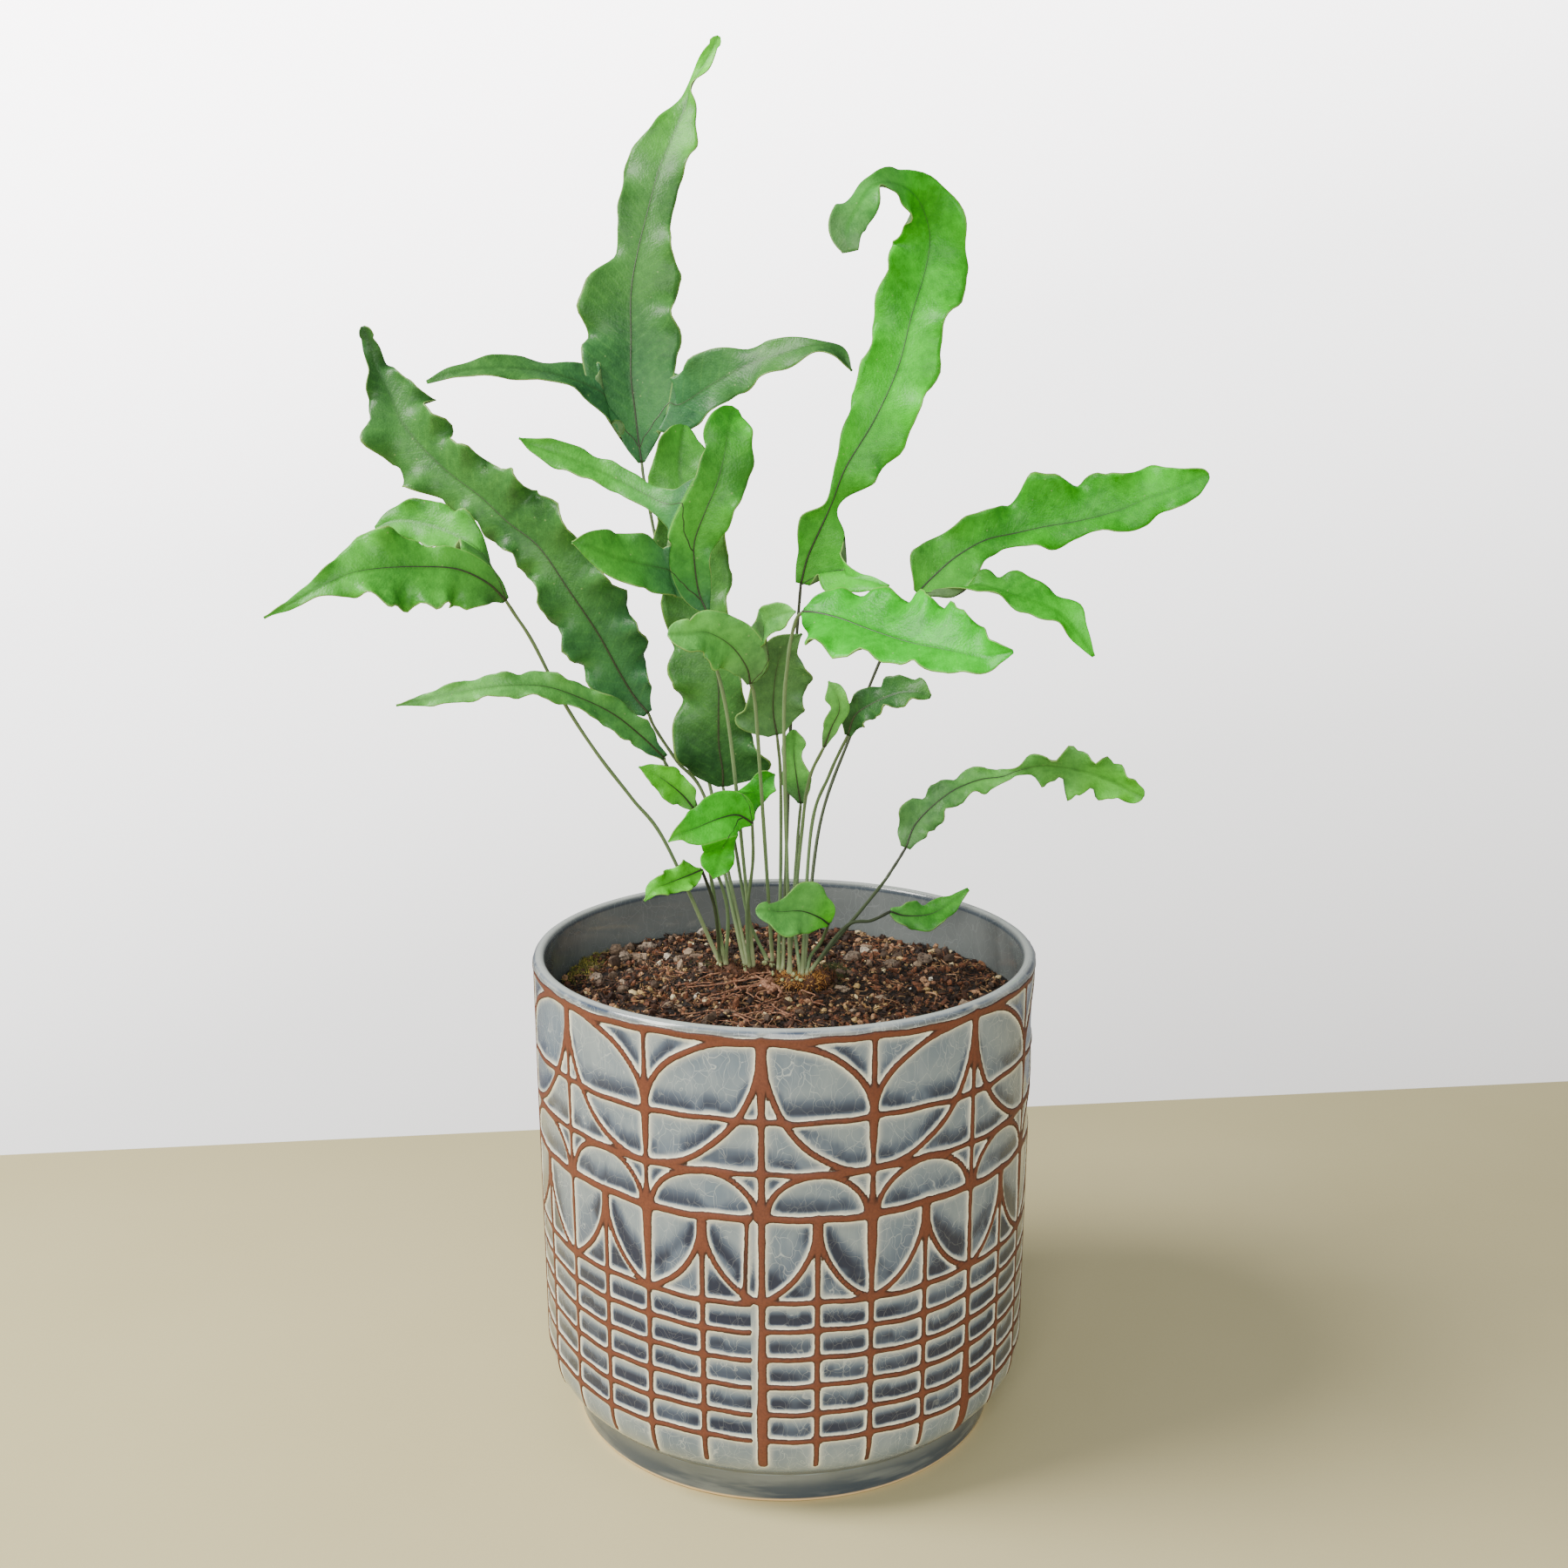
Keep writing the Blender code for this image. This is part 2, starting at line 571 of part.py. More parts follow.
def stone(name, x, y, length, width, height, turn):
    """A rounded stone, from a cube cage, lying on the soil."""
    lift = soil_height(x * MM, y * MM) + height * MM / 2 + CLEARANCE
    bpy.ops.mesh.primitive_cube_add(size=1, location=(x * MM, y * MM, lift))
    made = bpy.context.object
    made.name = made.data.name = name
    made.rotation_euler.z = math.radians(turn)
    for vertex in made.data.vertices:
        lean = 1 + 0.18 * math.sin(5 * vertex.index + turn)
        vertex.co.x *= length * MM * lean
        vertex.co.y *= width * MM / lean
        vertex.co.z *= height * MM
    rounding = made.modifiers.new("Round", "SUBSURF")
    rounding.levels = rounding.render_levels = 2
    for home in made.users_collection:
        home.objects.unlink(made)
    fern.objects.link(made)
    return made


for old in list(bpy.data.objects):
    bpy.data.objects.remove(old)
fern = bpy.data.collections.new("potted_fern")
bpy.context.scene.collection.children.link(fern)

SOIL_TOP = POT_HEIGHT - SOIL_BELOW_RIM

pot = turned("pot", pot_profile())
pot.data.materials.append(material("pot", GLAZE, 0.15))

soil = turned("soil", soil_profile())
soil.data.materials.append(material("soil", SOIL_BROWN, 0.95))

for rhizome_name in RHIZOMES:
    rhizome = tube(rhizome_name, rhizome_route(rhizome_name), RHIZOME_RADIUS)
    rhizome.data.materials.append(material(rhizome_name, RHIZOME_BROWN, 0.9))

for root_name, corners in SURFACE_ROOTS.items():
    lift = ROOT_RADIUS + CLEARANCE
    on_soil = [(x * MM, y * MM, soil_height(x * MM, y * MM) + lift) for x, y in corners]
    root = tube(root_name, smooth(on_soil, 3), ROOT_RADIUS)
    root.data.materials.append(material(root_name, ROOT_RED, 0.8))

for stone_name, sizes in STONES.items():
    stone(stone_name, *sizes).data.materials.append(material(stone_name, STONE_GREY, 0.85))

for frond_name, frond in FRONDS.items():
    stipe = tube(f"{frond_name}_stipe", stipe_route(frond), STIPE_RADIUS)
    stipe.data.materials.append(material(f"{frond_name}_stipe", STIPE_GREEN, 0.5))
    leaf = blade(f"{frond_name}_blade", frond)
    leaf.data.materials.append(material(f"{frond_name}_blade", BLADE_GREEN, 0.45))
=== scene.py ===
import math

import bpy
import numpy as np
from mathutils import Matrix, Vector


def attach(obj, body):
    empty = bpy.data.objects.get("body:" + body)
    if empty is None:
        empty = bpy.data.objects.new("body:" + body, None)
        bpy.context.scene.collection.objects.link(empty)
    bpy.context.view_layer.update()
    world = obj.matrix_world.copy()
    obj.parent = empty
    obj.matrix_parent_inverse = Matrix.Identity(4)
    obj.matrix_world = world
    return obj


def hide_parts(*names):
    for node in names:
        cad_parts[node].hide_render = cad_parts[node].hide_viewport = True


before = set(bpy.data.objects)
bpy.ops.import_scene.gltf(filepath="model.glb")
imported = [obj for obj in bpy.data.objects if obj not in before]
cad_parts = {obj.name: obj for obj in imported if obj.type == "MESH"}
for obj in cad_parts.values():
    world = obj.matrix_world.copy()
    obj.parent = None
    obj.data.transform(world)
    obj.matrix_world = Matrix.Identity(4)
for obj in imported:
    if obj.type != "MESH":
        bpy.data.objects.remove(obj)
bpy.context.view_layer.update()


# ---- Camera, floor and light ----
# A pale table top whose far edge shows in front of a bright wall, a large soft light high on the left,
# and a weaker one at the front.

def add(tree, kind, inputs=(), **settings):
    """A shader node. Each input is given a value, or the output socket that feeds it."""
    made = tree.nodes.new("ShaderNode" + kind)
    for name, value in settings.items():
        setattr(made, name, value)
    for key, value in dict(inputs).items():
        if isinstance(value, bpy.types.NodeSocket):
            tree.links.new(value, made.inputs[key])
        else:
            made.inputs[key].default_value = value
    return made


def calc(tree, operation, *values, clamp=False):
    """One arithmetic step of a node tree."""
    return add(tree, "Math", enumerate(values), operation=operation, use_clamp=clamp).outputs[0]


def fade(tree, value, start, end, low=0.0, high=1.0):
    """A value that goes smoothly from low to high as the first one goes from start to end."""
    stops = {0: value, 1: start, 2: end, 3: low, 4: high}
    return add(tree, "MapRange", stops, interpolation_type="SMOOTHSTEP").outputs[0]


def ramp(tree, value, *stops):
    """A colour read from a row of (place, colour) stops."""
    made = add(tree, "ValToRGB", {0: value})
    steps = made.color_ramp.elements
    while len(steps) < len(stops):
        steps.new(0.5)
    for step, (place, colour) in zip(steps, stops):
        step.position = place
        step.color = (*colour, 1)
    return made.outputs[0]


def blend(tree, share, first, second, how="MIX"):
    """The first colour mixed with the second."""
    pick = {0: share}
    for key, colour in ((6, first), (7, second)):
        pick[key] = colour if isinstance(colour, bpy.types.NodeSocket) else (*colour, 1)
    return add(tree, "Mix", pick, data_type="RGBA", blend_type=how, clamp_factor=True).outputs[2]


def noise(tree, place, scale, detail=3.0, rough=0.55, stretch=None):
    """Fractal noise about 0.5. The scale is in repeats a metre."""
    if stretch:
        place = add(tree, "Mapping", {"Vector": place, "Scale": stretch}).outputs[0]
    values = {"Vector": place, "Scale": scale, "Detail": detail, "Roughness": rough}
    return add(tree, "TexNoise", values).outputs[0]


def material(name):
    """A new material, its node tree, its Principled shader and its object coordinates."""
    made = bpy.data.materials.new(name)
    made.use_nodes = True
    tree = made.node_tree
    place = add(tree, "TexCoord").outputs["Object"]
    return made, tree, tree.nodes["Principled BSDF"], place


def feed(tree, shader, **inputs):
    """Sets or links inputs of the Principled shader, named with underscores for spaces."""
    for name, value in inputs.items():
        socket = shader.inputs[name.replace("_", " ")]
        if isinstance(value, bpy.types.NodeSocket):
            tree.links.new(value, socket)
        else:
            socket.default_value = value


def bumped(tree, shader, height, strength, depth):
    """Gives the shader a bump of this height, depth metres deep where the height is 1."""
    made = add(tree, "Bump", {"Strength": strength, "Distance": depth, "Height": height})
    tree.links.new(made.outputs[0], shader.inputs["Normal"])


def link(name, data):
    """An object in the scene."""
    made = bpy.data.objects.new(name, data)
    bpy.context.scene.collection.objects.link(made)
    return made


CAMERA_TILT = 12.35  # degrees below level
camera = link("camera", bpy.data.cameras.new("camera"))
camera.location = (0, -0.503, 0.3044)
camera.rotation_euler = (math.radians(90 - CAMERA_TILT), 0, 0)
camera.data.lens = 40
camera.data.sensor_width = 36
camera.data.clip_start = 0.01
bpy.context.scene.camera = camera


def soft_light(name, place, aim, size, power, colour):
    """A large round light that faces a point."""
    lamp = bpy.data.lights.new(name, "AREA")
    lamp.shape = "DISK"
    lamp.size = size
    lamp.energy = power
    lamp.color = colour
    made = link(name, lamp)
    made.location = place
    made.rotation_euler = (Vector(aim) - Vector(place)).to_track_quat("-Z", "Y").to_euler()


soft_light("key_light", (-0.72, -0.18, 0.90), (0, -0.05, 0.1), 0.5, 19, (1, 0.97, 0.93))
soft_light("front_light", (-0.1, -1.1, 0.55), (0, 0, 0.12), 0.6, 9, (1, 0.99, 0.97))

world = bpy.data.worlds.new("world")
bpy.context.scene.world = world
world.use_nodes = True
sky = world.node_tree
# Painted light falloff: the wall that only the camera sees is a glowing backdrop, painted brighter high up
# and to the left, toward the key light, and darker low and to the right.
look = add(sky, "SeparateXYZ", {0: add(sky, "TexCoord").outputs["Generated"]})
rise = calc(sky, "MULTIPLY_ADD", look.outputs["X"], -0.28, look.outputs["Z"])
wall = ramp(
    sky, calc(sky, "MULTIPLY_ADD", rise, 1.25, 0.62),
    (0.0, (0.15, 0.145, 0.14)), (0.3, (0.28, 0.275, 0.27)),
    (0.62, (0.50, 0.49, 0.49)), (1.0, (1.0, 0.96, 0.97)),
)
seen = add(sky, "LightPath").outputs["Is Camera Ray"]
shine = fade(sky, seen, 0, 1, 0.40, 8)
sky.links.new(shine, sky.nodes["Background"].inputs["Strength"])
sky.links.new(blend(sky, seen, (0.96, 0.98, 1.0), wall), sky.nodes["Background"].inputs["Color"])

WIDE = 1.2  # metres from the middle of the table to its sides and its near edge
FAR_EDGE = 0.207  # metres from the middle to the far edge
slant = WIDE * math.tan(math.radians(6.7))
floor_mesh = bpy.data.meshes.new("floor")
near_edge = [(-WIDE, -WIDE, 0), (WIDE, -WIDE, 0)]
far_edge = [(WIDE, FAR_EDGE + slant, 0), (-WIDE, FAR_EDGE - slant, 0)]
floor_mesh.from_pydata(near_edge + far_edge, [], [(0, 1, 2, 3)])
floor = link("floor", floor_mesh)
stuff, tree, shader, place = material("floor")
clouds = noise(tree, place, 6, 4)
grain = noise(tree, place, 900, 2)
cloth = ramp(tree, clouds, (0.3, (0.60, 0.53, 0.28)), (0.7, (0.64, 0.565, 0.31)))
feed(tree, shader, Base_Color=cloth, Roughness=fade(tree, grain, 0.3, 0.7, 0.55, 0.7))
bumped(tree, shader, grain, 0.1, 0.0001)
floor_mesh.materials.append(stuff)


# ---- Pot ----
# Turned stoneware with a rounded lip, a straight body and a recessed foot. Lines of bare red clay stand
# up between cells of pale blue-grey glaze, which is cream where it thins and dark where it pools.

MM = 0.001
RING_HEIGHTS = (142, 119.4, 104.5, 91.5, 66.9, 58.5, 50.2, 42, 33.6, 25.5)  # in mm above the table
SEAM = math.radians(-4.6)  # the column that the lower rings stop short of
COLUMNS = 14
BODY_RADIUS = 74.2  # the mean, in mm
CROWDING = 0.055  # how much closer together the columns stand at the seam
SHORT, LONG = 0.955, 1.045  # steps from a column A to the next B, and from a B to the next A
ARC_HALF, ARCH_HALF = 0.88, 0.82  # half-widths of the upper and lower curved lines
FAR_OFF = 14  # the greatest distance that counts
JOIN = 0.4


def times(tree, first, second):
    """The product of two values."""
    return calc(tree, "MULTIPLY", first, second)


def swayed(tree, wave, gain, value):
    """The value moved up and down by a noise about 0.5."""
    return calc(tree, "MULTIPLY_ADD", calc(tree, "SUBTRACT", wave, 0.5), gain, value)


def cracks(tree, place, scale, width):
    """1 on the lines between the cells of a Voronoi pattern and 0 inside them."""
    found = add(tree, "TexVoronoi", {"Vector": place, "Scale": scale}, feature="DISTANCE_TO_EDGE")
    return fade(tree, found.outputs["Distance"], 0.0, width, 1.0, 0.0)


def spot(tree, name):
    """The value of a mesh attribute."""
    return add(tree, "Attribute", attribute_name=name).outputs["Fac"]


def ellipse_distance(x, y, wide, high):
    """Distance to an ellipse about the origin: |f| / |grad f| with f = sqrt((x/wide)^2 + (y/high)^2) - 1."""
    reach = np.sqrt((x / wide) ** 2 + (y / high) ** 2) + 1e-9
    slope = np.sqrt((x / wide**2) ** 2 + (y / high**2) ** 2) / reach + 1e-9
    return np.abs(reach - 1) / slope


def soft_step(value, start, end):
    """0 before start, 1 after end, and 3t^2 - 2t^3 between them."""
    t = np.clip((value - start) / (end - start), 0, 1)
    return t * t * (3 - 2 * t)


def line_distance(angle, z):
    """Distance in mm from the edge of the nearest clay line, less than 0 on it.

    The columns stand at steps of u that are short and long in turn, where angle = u - CROWDING sin(u - seam).
    Even ones are A and odd ones B, and each cell between them is mirrored, so its shapes depend on x, the
    distance from A. Each line gives d = distance - half-width, and they are joined by
    -JOIN ln(sum(exp(-d / JOIN))).
    """
    top, second, third, fourth, fifth = RING_HEIGHTS[:5]
    u = angle
    for _ in range(5):
        u = angle + CROWDING * np.sin(u - SEAM)
    step = 2 * math.pi / COLUMNS
    turn = (u - SEAM) / step
    part = np.mod(turn, 2)
    short = part < SHORT
    fold = np.where(short, part / SHORT, 1 + (part - SHORT) / LONG)
    side = np.where(fold > 1, 2 - fold, fold)
    width = BODY_RADIUS * step * (1 - CROWDING * np.cos(u - SEAM)) * np.where(short, SHORT, LONG)
    x = side * width
    x_b = (1 - side) * width
    x_half = np.abs(side - 0.5) * width
    near = np.minimum(x, x_b)
    which = np.round(turn)
    from_seam = BODY_RADIUS * (angle - SEAM)
    wobble = 0.28 * np.sin(5 * angle + 0.35 * z) + 0.16 * np.sin(17 * angle - 0.9 * z)
    z = z + 0.3 * np.sin(9 * angle + 0.06 * z) + 0.15 * np.sin(31 * angle)
    found = []

    for number, height in enumerate(RING_HEIGHTS):
        gap = (from_seam < 0) & (from_seam > -8) & (number > 2)
        short_of = np.where(gap, np.clip(from_seam + 3.3, 0, 3), 0)
        found.append(np.hypot(z - height, short_of * 1.4) - (1.05 if number in (0, 3) else 0.8))

    low = 16.4 + 1.2 * np.sin(2.3 * which + 1)
    below = np.clip(low - z, 0, None)
    above = np.clip(z - top, 0, None)
    seam = np.abs(from_seam) < 9
    drip = np.abs(np.degrees(angle) - 44) < 8
    a_half = 0.80 + 0.15 * seam + 0.5 * seam * soft_step(-z, -66, -30)
    a_half = a_half + 1.0 * drip * soft_step(-z, -52, -26) + 0.35 * soft_step(z, 120, 140)
    found.append(np.hypot(x + 0.25 * wobble, below + above) - a_half)
    b_half = 0.76 + 0.5 * (soft_step(z, 106, 119) - soft_step(z, 119, 123))
    b_half = b_half + 0.85 * (soft_step(z, 66, 92) - soft_step(z, 91, 94))
    found.append(np.hypot(x_b + 0.25 * wobble, below + above) - b_half)
    half_low = 16.8 + 1.1 * np.sin(3.1 * np.floor(turn))
    half_off = np.clip(half_low - z, 0, None) + np.clip(z - 89, 0, None)
    half_width = 0.76 + 0.6 * soft_step(z, 80, 90)
    found.append(np.hypot(x_half, half_off) - half_width)

    outside = np.clip(second - z, 0, None) + above
    found.append(ellipse_distance(x, z - second, width, top - second) - ARC_HALF + outside)
    outside = np.clip(third - z, 0, None) + above
    found.append(ellipse_distance(x_b, z - top, width, top - third) - ARC_HALF + outside)
    outside = np.clip(fourth - z, 0, None)
    arch = ellipse_distance(x_half, z - fourth, width / 2 - 1.4, third - fourth - 0.2)
    found.append(arch - ARCH_HALF + outside)
    lean = 10
    drop = (fourth - fifth) / np.sqrt(1 - (lean / (width / 2 + lean)) ** 2)
    outside = np.clip(fifth - z, 0, None) + np.clip(z - fourth, 0, None)
    found.append(ellipse_distance(near + lean, z - fourth, width / 2 + lean, drop) - ARCH_HALF + outside)

    beside = np.hypot(from_seam + 4.3 - 0.03 * (z - 80), np.clip(68 - z, 0, None) + np.clip(z - 92, 0, None))
    found.append(beside - 0.6)

    lines = np.clip(np.array(found), None, FAR_OFF)
    return -JOIN * np.log(np.exp(-lines / JOIN).sum(0))


def mesh_of(name, points, faces, values=(), material_numbers=None):
    """A mesh from whole arrays of points, in metres, and faces of three or four corners.

    The faces come as one array, or a list of arrays, whose rows are faces. Values are point attributes.
    """
    groups = faces if isinstance(faces, list) else [faces]
    made = bpy.data.meshes.new(name)
    made.vertices.add(len(points))
    made.vertices.foreach_set("co", np.ascontiguousarray(points, dtype=np.float32).ravel())
    corners = np.concatenate([np.asarray(g).ravel() for g in groups]).astype(np.int32)
    sizes = np.concatenate([np.full(len(g), np.asarray(g).shape[1]) for g in groups]).astype(np.int32)
    made.loops.add(len(corners))
    made.loops.foreach_set("vertex_index", corners)
    made.polygons.add(len(sizes))
    starts = (np.cumsum(sizes) - sizes).astype(np.int32)
    made.polygons.foreach_set("loop_start", starts)
    made.polygons.foreach_set("loop_total", sizes)
    made.polygons.foreach_set("use_smooth", np.ones(len(sizes), dtype=bool))
    if material_numbers is not None:
        made.polygons.foreach_set("material_index", np.asarray(material_numbers, dtype=np.int32))
    made.update(calc_edges=True)
    for key, array in dict(values).items():
        layer = made.attributes.new(key, "FLOAT", "POINT")
        layer.data.foreach_set("value", np.ascontiguousarray(array, dtype=np.float32).ravel())
    return made


def turned_faces(rings, around):
    """Faces of a turned skin: a pole, rings of points, and a pole. Point 0 and the last are the poles."""
    ring = 1 + np.arange(rings)[:, None] * around
    now = np.arange(around)
    then = (now + 1) % around
    low, high = ring[:-1], ring[1:]
    quads = np.stack([low + now, low + then, high + then, high + now], -1).reshape(-1, 4)
    first = np.stack([np.zeros(around, int), 1 + then, 1 + now], -1)
    last = 1 + (rings - 1) * around
    cap = np.stack([np.full(around, last + around), last + now, last + then], -1)
    return [quads, first, cap]


def keep(made, slot, *nodes):
    """Hides the CAD parts that the piece stands for. It moves with the one body."""
    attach(made, "root")
    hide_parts(*nodes)


def pot_rings():
    """(radius, height) of each ring in mm, from the middle of the underside to the middle of the floor."""
    under = [(24, 0), (44, 0), (58, 0), (63, 0), (63.9, 0.15), (64.3, 0.6), (64.4, 1.2)]
    foot = [(64.4, 3), (64.35, 5.5), (64.4, 8), (64.7, 9.6), (65.4, 10.7)]
    shoulder = [(65.2 + 8.4 * math.sin(a), 26 - 15 * math.cos(a)) for a in np.linspace(0.12, 1.57, 24)]
    heights = np.linspace(26.9, 141.6, 121)
    body = [(73.6 + (z - 26) / 114, z) for z in heights]
    lip = [(73.2 + 1.8 * math.cos(a), 143.2 + 1.8 * math.sin(a)) for a in np.linspace(-0.45, 3.3, 13)]
    wall = [(68 + (z - 13) / 130.2 * 3.4, z) for z in (142, 140, 137, 134, 131, 128, 124, 110, 80, 40, 15)]
    inner = [(66.5, 10.2), (64, 9), (30, 9)]
    return np.array(under + foot + shoulder + body + lip + wall + inner)


AROUND = 540
INNER_RINGS = 20  # from just inside the crown of the lip to the middle of the floor
NO_LINE = 12.0  # the gap where the pot has no lines
rings = pot_rings()
turn = np.linspace(-math.pi, math.pi, AROUND, endpoint=False) + math.pi / AROUND
radius, height = rings[:, :1] + 0 * turn, rings[:, 1:] + 0 * turn
outer = np.arange(len(rings)) < len(rings) - INNER_RINGS
gap = line_distance(turn[None, :] + 0 * height, height)
gap = np.where(outer[:, None] & (height > 8), gap, NO_LINE)
relief = 0.45 * soft_step(-gap, -0.5, 0.35) - 0.12 * soft_step(gap, 1, 4) * (gap < 11)
hand = 0.12 * np.sin(2 * turn + height / 40) + 0.08 * np.sin(5 * turn - height / 23)
radius = radius + relief + hand * soft_step(height, 5, 30)
run = np.zeros(turn.shape)
over = np.zeros(height.shape)
for row in range(1, len(rings)):
    run = np.where(gap[row] < 0, 0, run + np.abs(height[row] - height[row - 1]))
    over[row] = np.where(outer[row], run, 30)
skin = np.stack([radius * np.sin(turn), -radius * np.cos(turn), height], -1).reshape(-1, 3)
skin = np.vstack([[0, 0, 0], skin, [0, 0, 9]]) * MM
values = {"gap": gap, "over": over}
values = {k: np.concatenate([[NO_LINE], v.ravel(), [NO_LINE]]) for k, v in values.items()}
pot = link("pot_body", mesh_of("pot_body", skin, turned_faces(len(rings), AROUND), values))

stuff, tree, shader, place = material("pot glaze")
gap_here = spot(tree, "gap")
over_here = spot(tree, "over")
rise = add(tree, "SeparateXYZ", {0: place}).outputs["Z"]
edge = swayed(tree, noise(tree, place, 700, 3, 0.6), 0.4, gap_here)
streaks = noise(tree, place, 240, 4, 0.6, stretch=(1, 1, 0.25))
blotch = noise(tree, place, 55, 3, 0.5)
clay = ramp(
    tree, fade(tree, edge, -1.1, 0.12),
    (0.0, (0.185, 0.055, 0.027)), (0.66, (0.165, 0.048, 0.024)),
    (0.84, (0.060, 0.018, 0.010)), (1.0, (0.020, 0.008, 0.006)),
)
clay = blend(tree, fade(tree, noise(tree, place, 1500, 3), 0.35, 0.75, 0, 0.5), clay, (0.09, 0.027, 0.014))
far = swayed(tree, streaks, 0.9, edge)
mid = blend(tree, fade(tree, blotch, 0.3, 0.7), (0.150, 0.200, 0.255), (0.25, 0.30, 0.325))
halo = ramp(
    tree, calc(tree, "DIVIDE", far, 3.0, clamp=True),
    (0.0, (0.98, 0.96, 0.76)), (0.06, (0.88, 0.86, 0.66)), (0.14, (0.60, 0.61, 0.52)),
    (0.30, (0.40, 0.43, 0.42)), (1.0, (0.24, 0.29, 0.32)),
)
glaze = blend(tree, fade(tree, far, 0.4, 2.4), halo, mid)
on_body = fade(tree, gap_here, 9, 11, 1.0, 0.0)
plain = blend(tree, fade(tree, blotch, 0.3, 0.7), (0.145, 0.163, 0.160), (0.185, 0.203, 0.195))
glaze = blend(tree, on_body, plain, glaze)
pale_streak = times(tree, on_body, fade(tree, streaks, 0.45, 0.75, 0, 0.18))
glaze = blend(tree, pale_streak, glaze, (0.50, 0.54, 0.54))
in_bricks = fade(tree, rise, 0.0655, 0.0675, 1, 0)
in_points = fade(tree, rise, 0.088, 0.093, 1, 0)
brick_pool = times(tree, fade(tree, over_here, 0.3, 1.8), fade(tree, over_here, 2.8, 6.6, 1, 0))
brick_pool = times(tree, brick_pool, fade(tree, blotch, 0.35, 0.6, 0.6, 1.0))
reach = calc(tree, "MULTIPLY_ADD", in_points, 6, 9)
cell_pool = calc(tree, "DIVIDE", over_here, reach)
cell_pool = times(tree, fade(tree, over_here, 0.3, 2.4), fade(tree, cell_pool, 0.25, 1.0, 1, 0))
cell_pool = times(tree, cell_pool, fade(tree, blotch, 0.40, 0.56, 0.35, 1.0))
cell_pool = times(tree, cell_pool, fade(tree, in_points, 0, 1, 0.75, 1.0))
pool = fade(tree, in_bricks, 0, 1, cell_pool, brick_pool)
pool = times(tree, pool, fade(tree, far, 0.25, 1.5))
pool = times(tree, pool, on_body)
glaze = blend(tree, fade(tree, pool, 0, 0.5), glaze, (0.090, 0.122, 0.180))
glaze = blend(tree, fade(tree, pool, 0.3, 0.9), glaze, (0.010, 0.017, 0.048))
under_lip = times(tree, fade(tree, rise, 0.1426, 0.1432), fade(tree, rise, 0.1436, 0.1444, 0.75, 0))
bands = noise(tree, place, 90, 3, stretch=(0.4, 0.4, 3))
foot_low = times(tree, fade(tree, rise, 0.004, 0.0085, 0.9, 0.0), fade(tree, bands, 0.36, 0.58))
glaze = blend(tree, calc(tree, "MAXIMUM", under_lip, foot_low), glaze, (0.045, 0.062, 0.085))
# Painted highlight: the crown of the lip is made lighter grey, where the light catches it.
lip_painted_highlight = fade(tree, rise, 0.1442, 0.1449, 0.0, 0.75)
glaze = blend(tree, lip_painted_highlight, glaze, (0.50, 0.54, 0.50))
warp = add(tree, "TexNoise", {"Vector": place, "Scale": 130, "Detail": 2}).outputs["Color"]
warp = add(tree, "VectorMath", {0: warp, 1: (0.006, 0.006, 0.006)}, operation="MULTIPLY").outputs[0]
bent = add(tree, "VectorMath", {0: place, 1: warp}, operation="ADD").outputs[0]
bent = add(tree, "Mapping", {"Vector": bent, "Scale": (1, 1, 0.6)}).outputs[0]
crack = cracks(tree, bent, 190, 0.016)
turned = add(tree, "Mapping", {"Vector": bent, "Rotation": (0.5, 0.3, 0.7)}).outputs[0]
fine = cracks(tree, turned, 330, 0.016)
crazed = times(tree, calc(tree, "MAXIMUM", crack, fine), fade(tree, blotch, 0.3, 0.7, 0.55, 0.3))
crazed = times(tree, crazed, fade(tree, pool, 0, 0.8, 1.0, 0.3))
crazed = times(tree, crazed, fade(tree, rise, 0.010, 0.013))
crazed = times(tree, crazed, fade(tree, on_body, 0, 1, 0.3, 1))
glaze = blend(tree, crazed, glaze, (0.66, 0.70, 0.66))
is_clay = fade(tree, edge, -0.04, 0.1, 1.0, 0.0)
colour = blend(tree, is_clay, glaze, clay)
colour = blend(tree, fade(tree, rise, 0.0008, 0.0014, 1, 0), colour, (0.90, 0.64, 0.33))
feed(tree, shader, Base_Color=colour, Roughness=calc(tree, "MULTIPLY_ADD", is_clay, 0.42, 0.13))
feed(tree, shader, Coat_Weight=fade(tree, is_clay, 0, 1, 0.3, 0.0), Coat_Roughness=0.06, IOR=1.42)
grit = times(tree, noise(tree, place, 2500, 2), times(tree, is_clay, 0.25))
raised = calc(tree, "ADD", fade(tree, edge, -0.35, 0.25, 1, 0), grit)
bumped(tree, shader, raised, 0.5, 0.0004)
pot.data.materials.append(stuff)
keep(pot, "glazed_pot", "pot")


# ---- Soil ----
# A loose peat and bark mix, heaped a little at the crown and against the pot: a lumpy bed under thousands
# of crumbs, chips and fibres, with grey-brown pebbles, pale perlite and some moss.

SOIL_RADIUS = 70.6
SOIL_TOP = 130  # height in the middle, in mm
SOIL_UNDERSIDE = 115.5
MOUND_FALL, MOUND_REACH = 1.5, 71  # how far the mound falls, over what radius
HEAPS = (  # middle (x, y), reach (x, y) and rise in mm
    ((-54, 12), (24, 24), 1.6), ((64, -8), (17, 17), 1.7), ((38, 52), (18, 18), -1.6),
    ((-5, 7), (24, 13), 3.0), ((26, -24), (12, 9), -1.2), ((-30, -14), (14, 8), 0.8),
    ((30, 8), (10, 8), 0.9),
)
THIRDS = (0, 2.094, 4.189)  # angles of the three corners of a fibre or spike


def unit(vectors):
    """Vectors of the same directions, with length 1."""
    return vectors / np.linalg.norm(vectors, axis=-1, keepdims=True)


def mound(x, y):
    """Height in mm of the CAD's soil surface."""
    return SOIL_TOP - MOUND_FALL * (x**2 + y**2) / MOUND_REACH**2


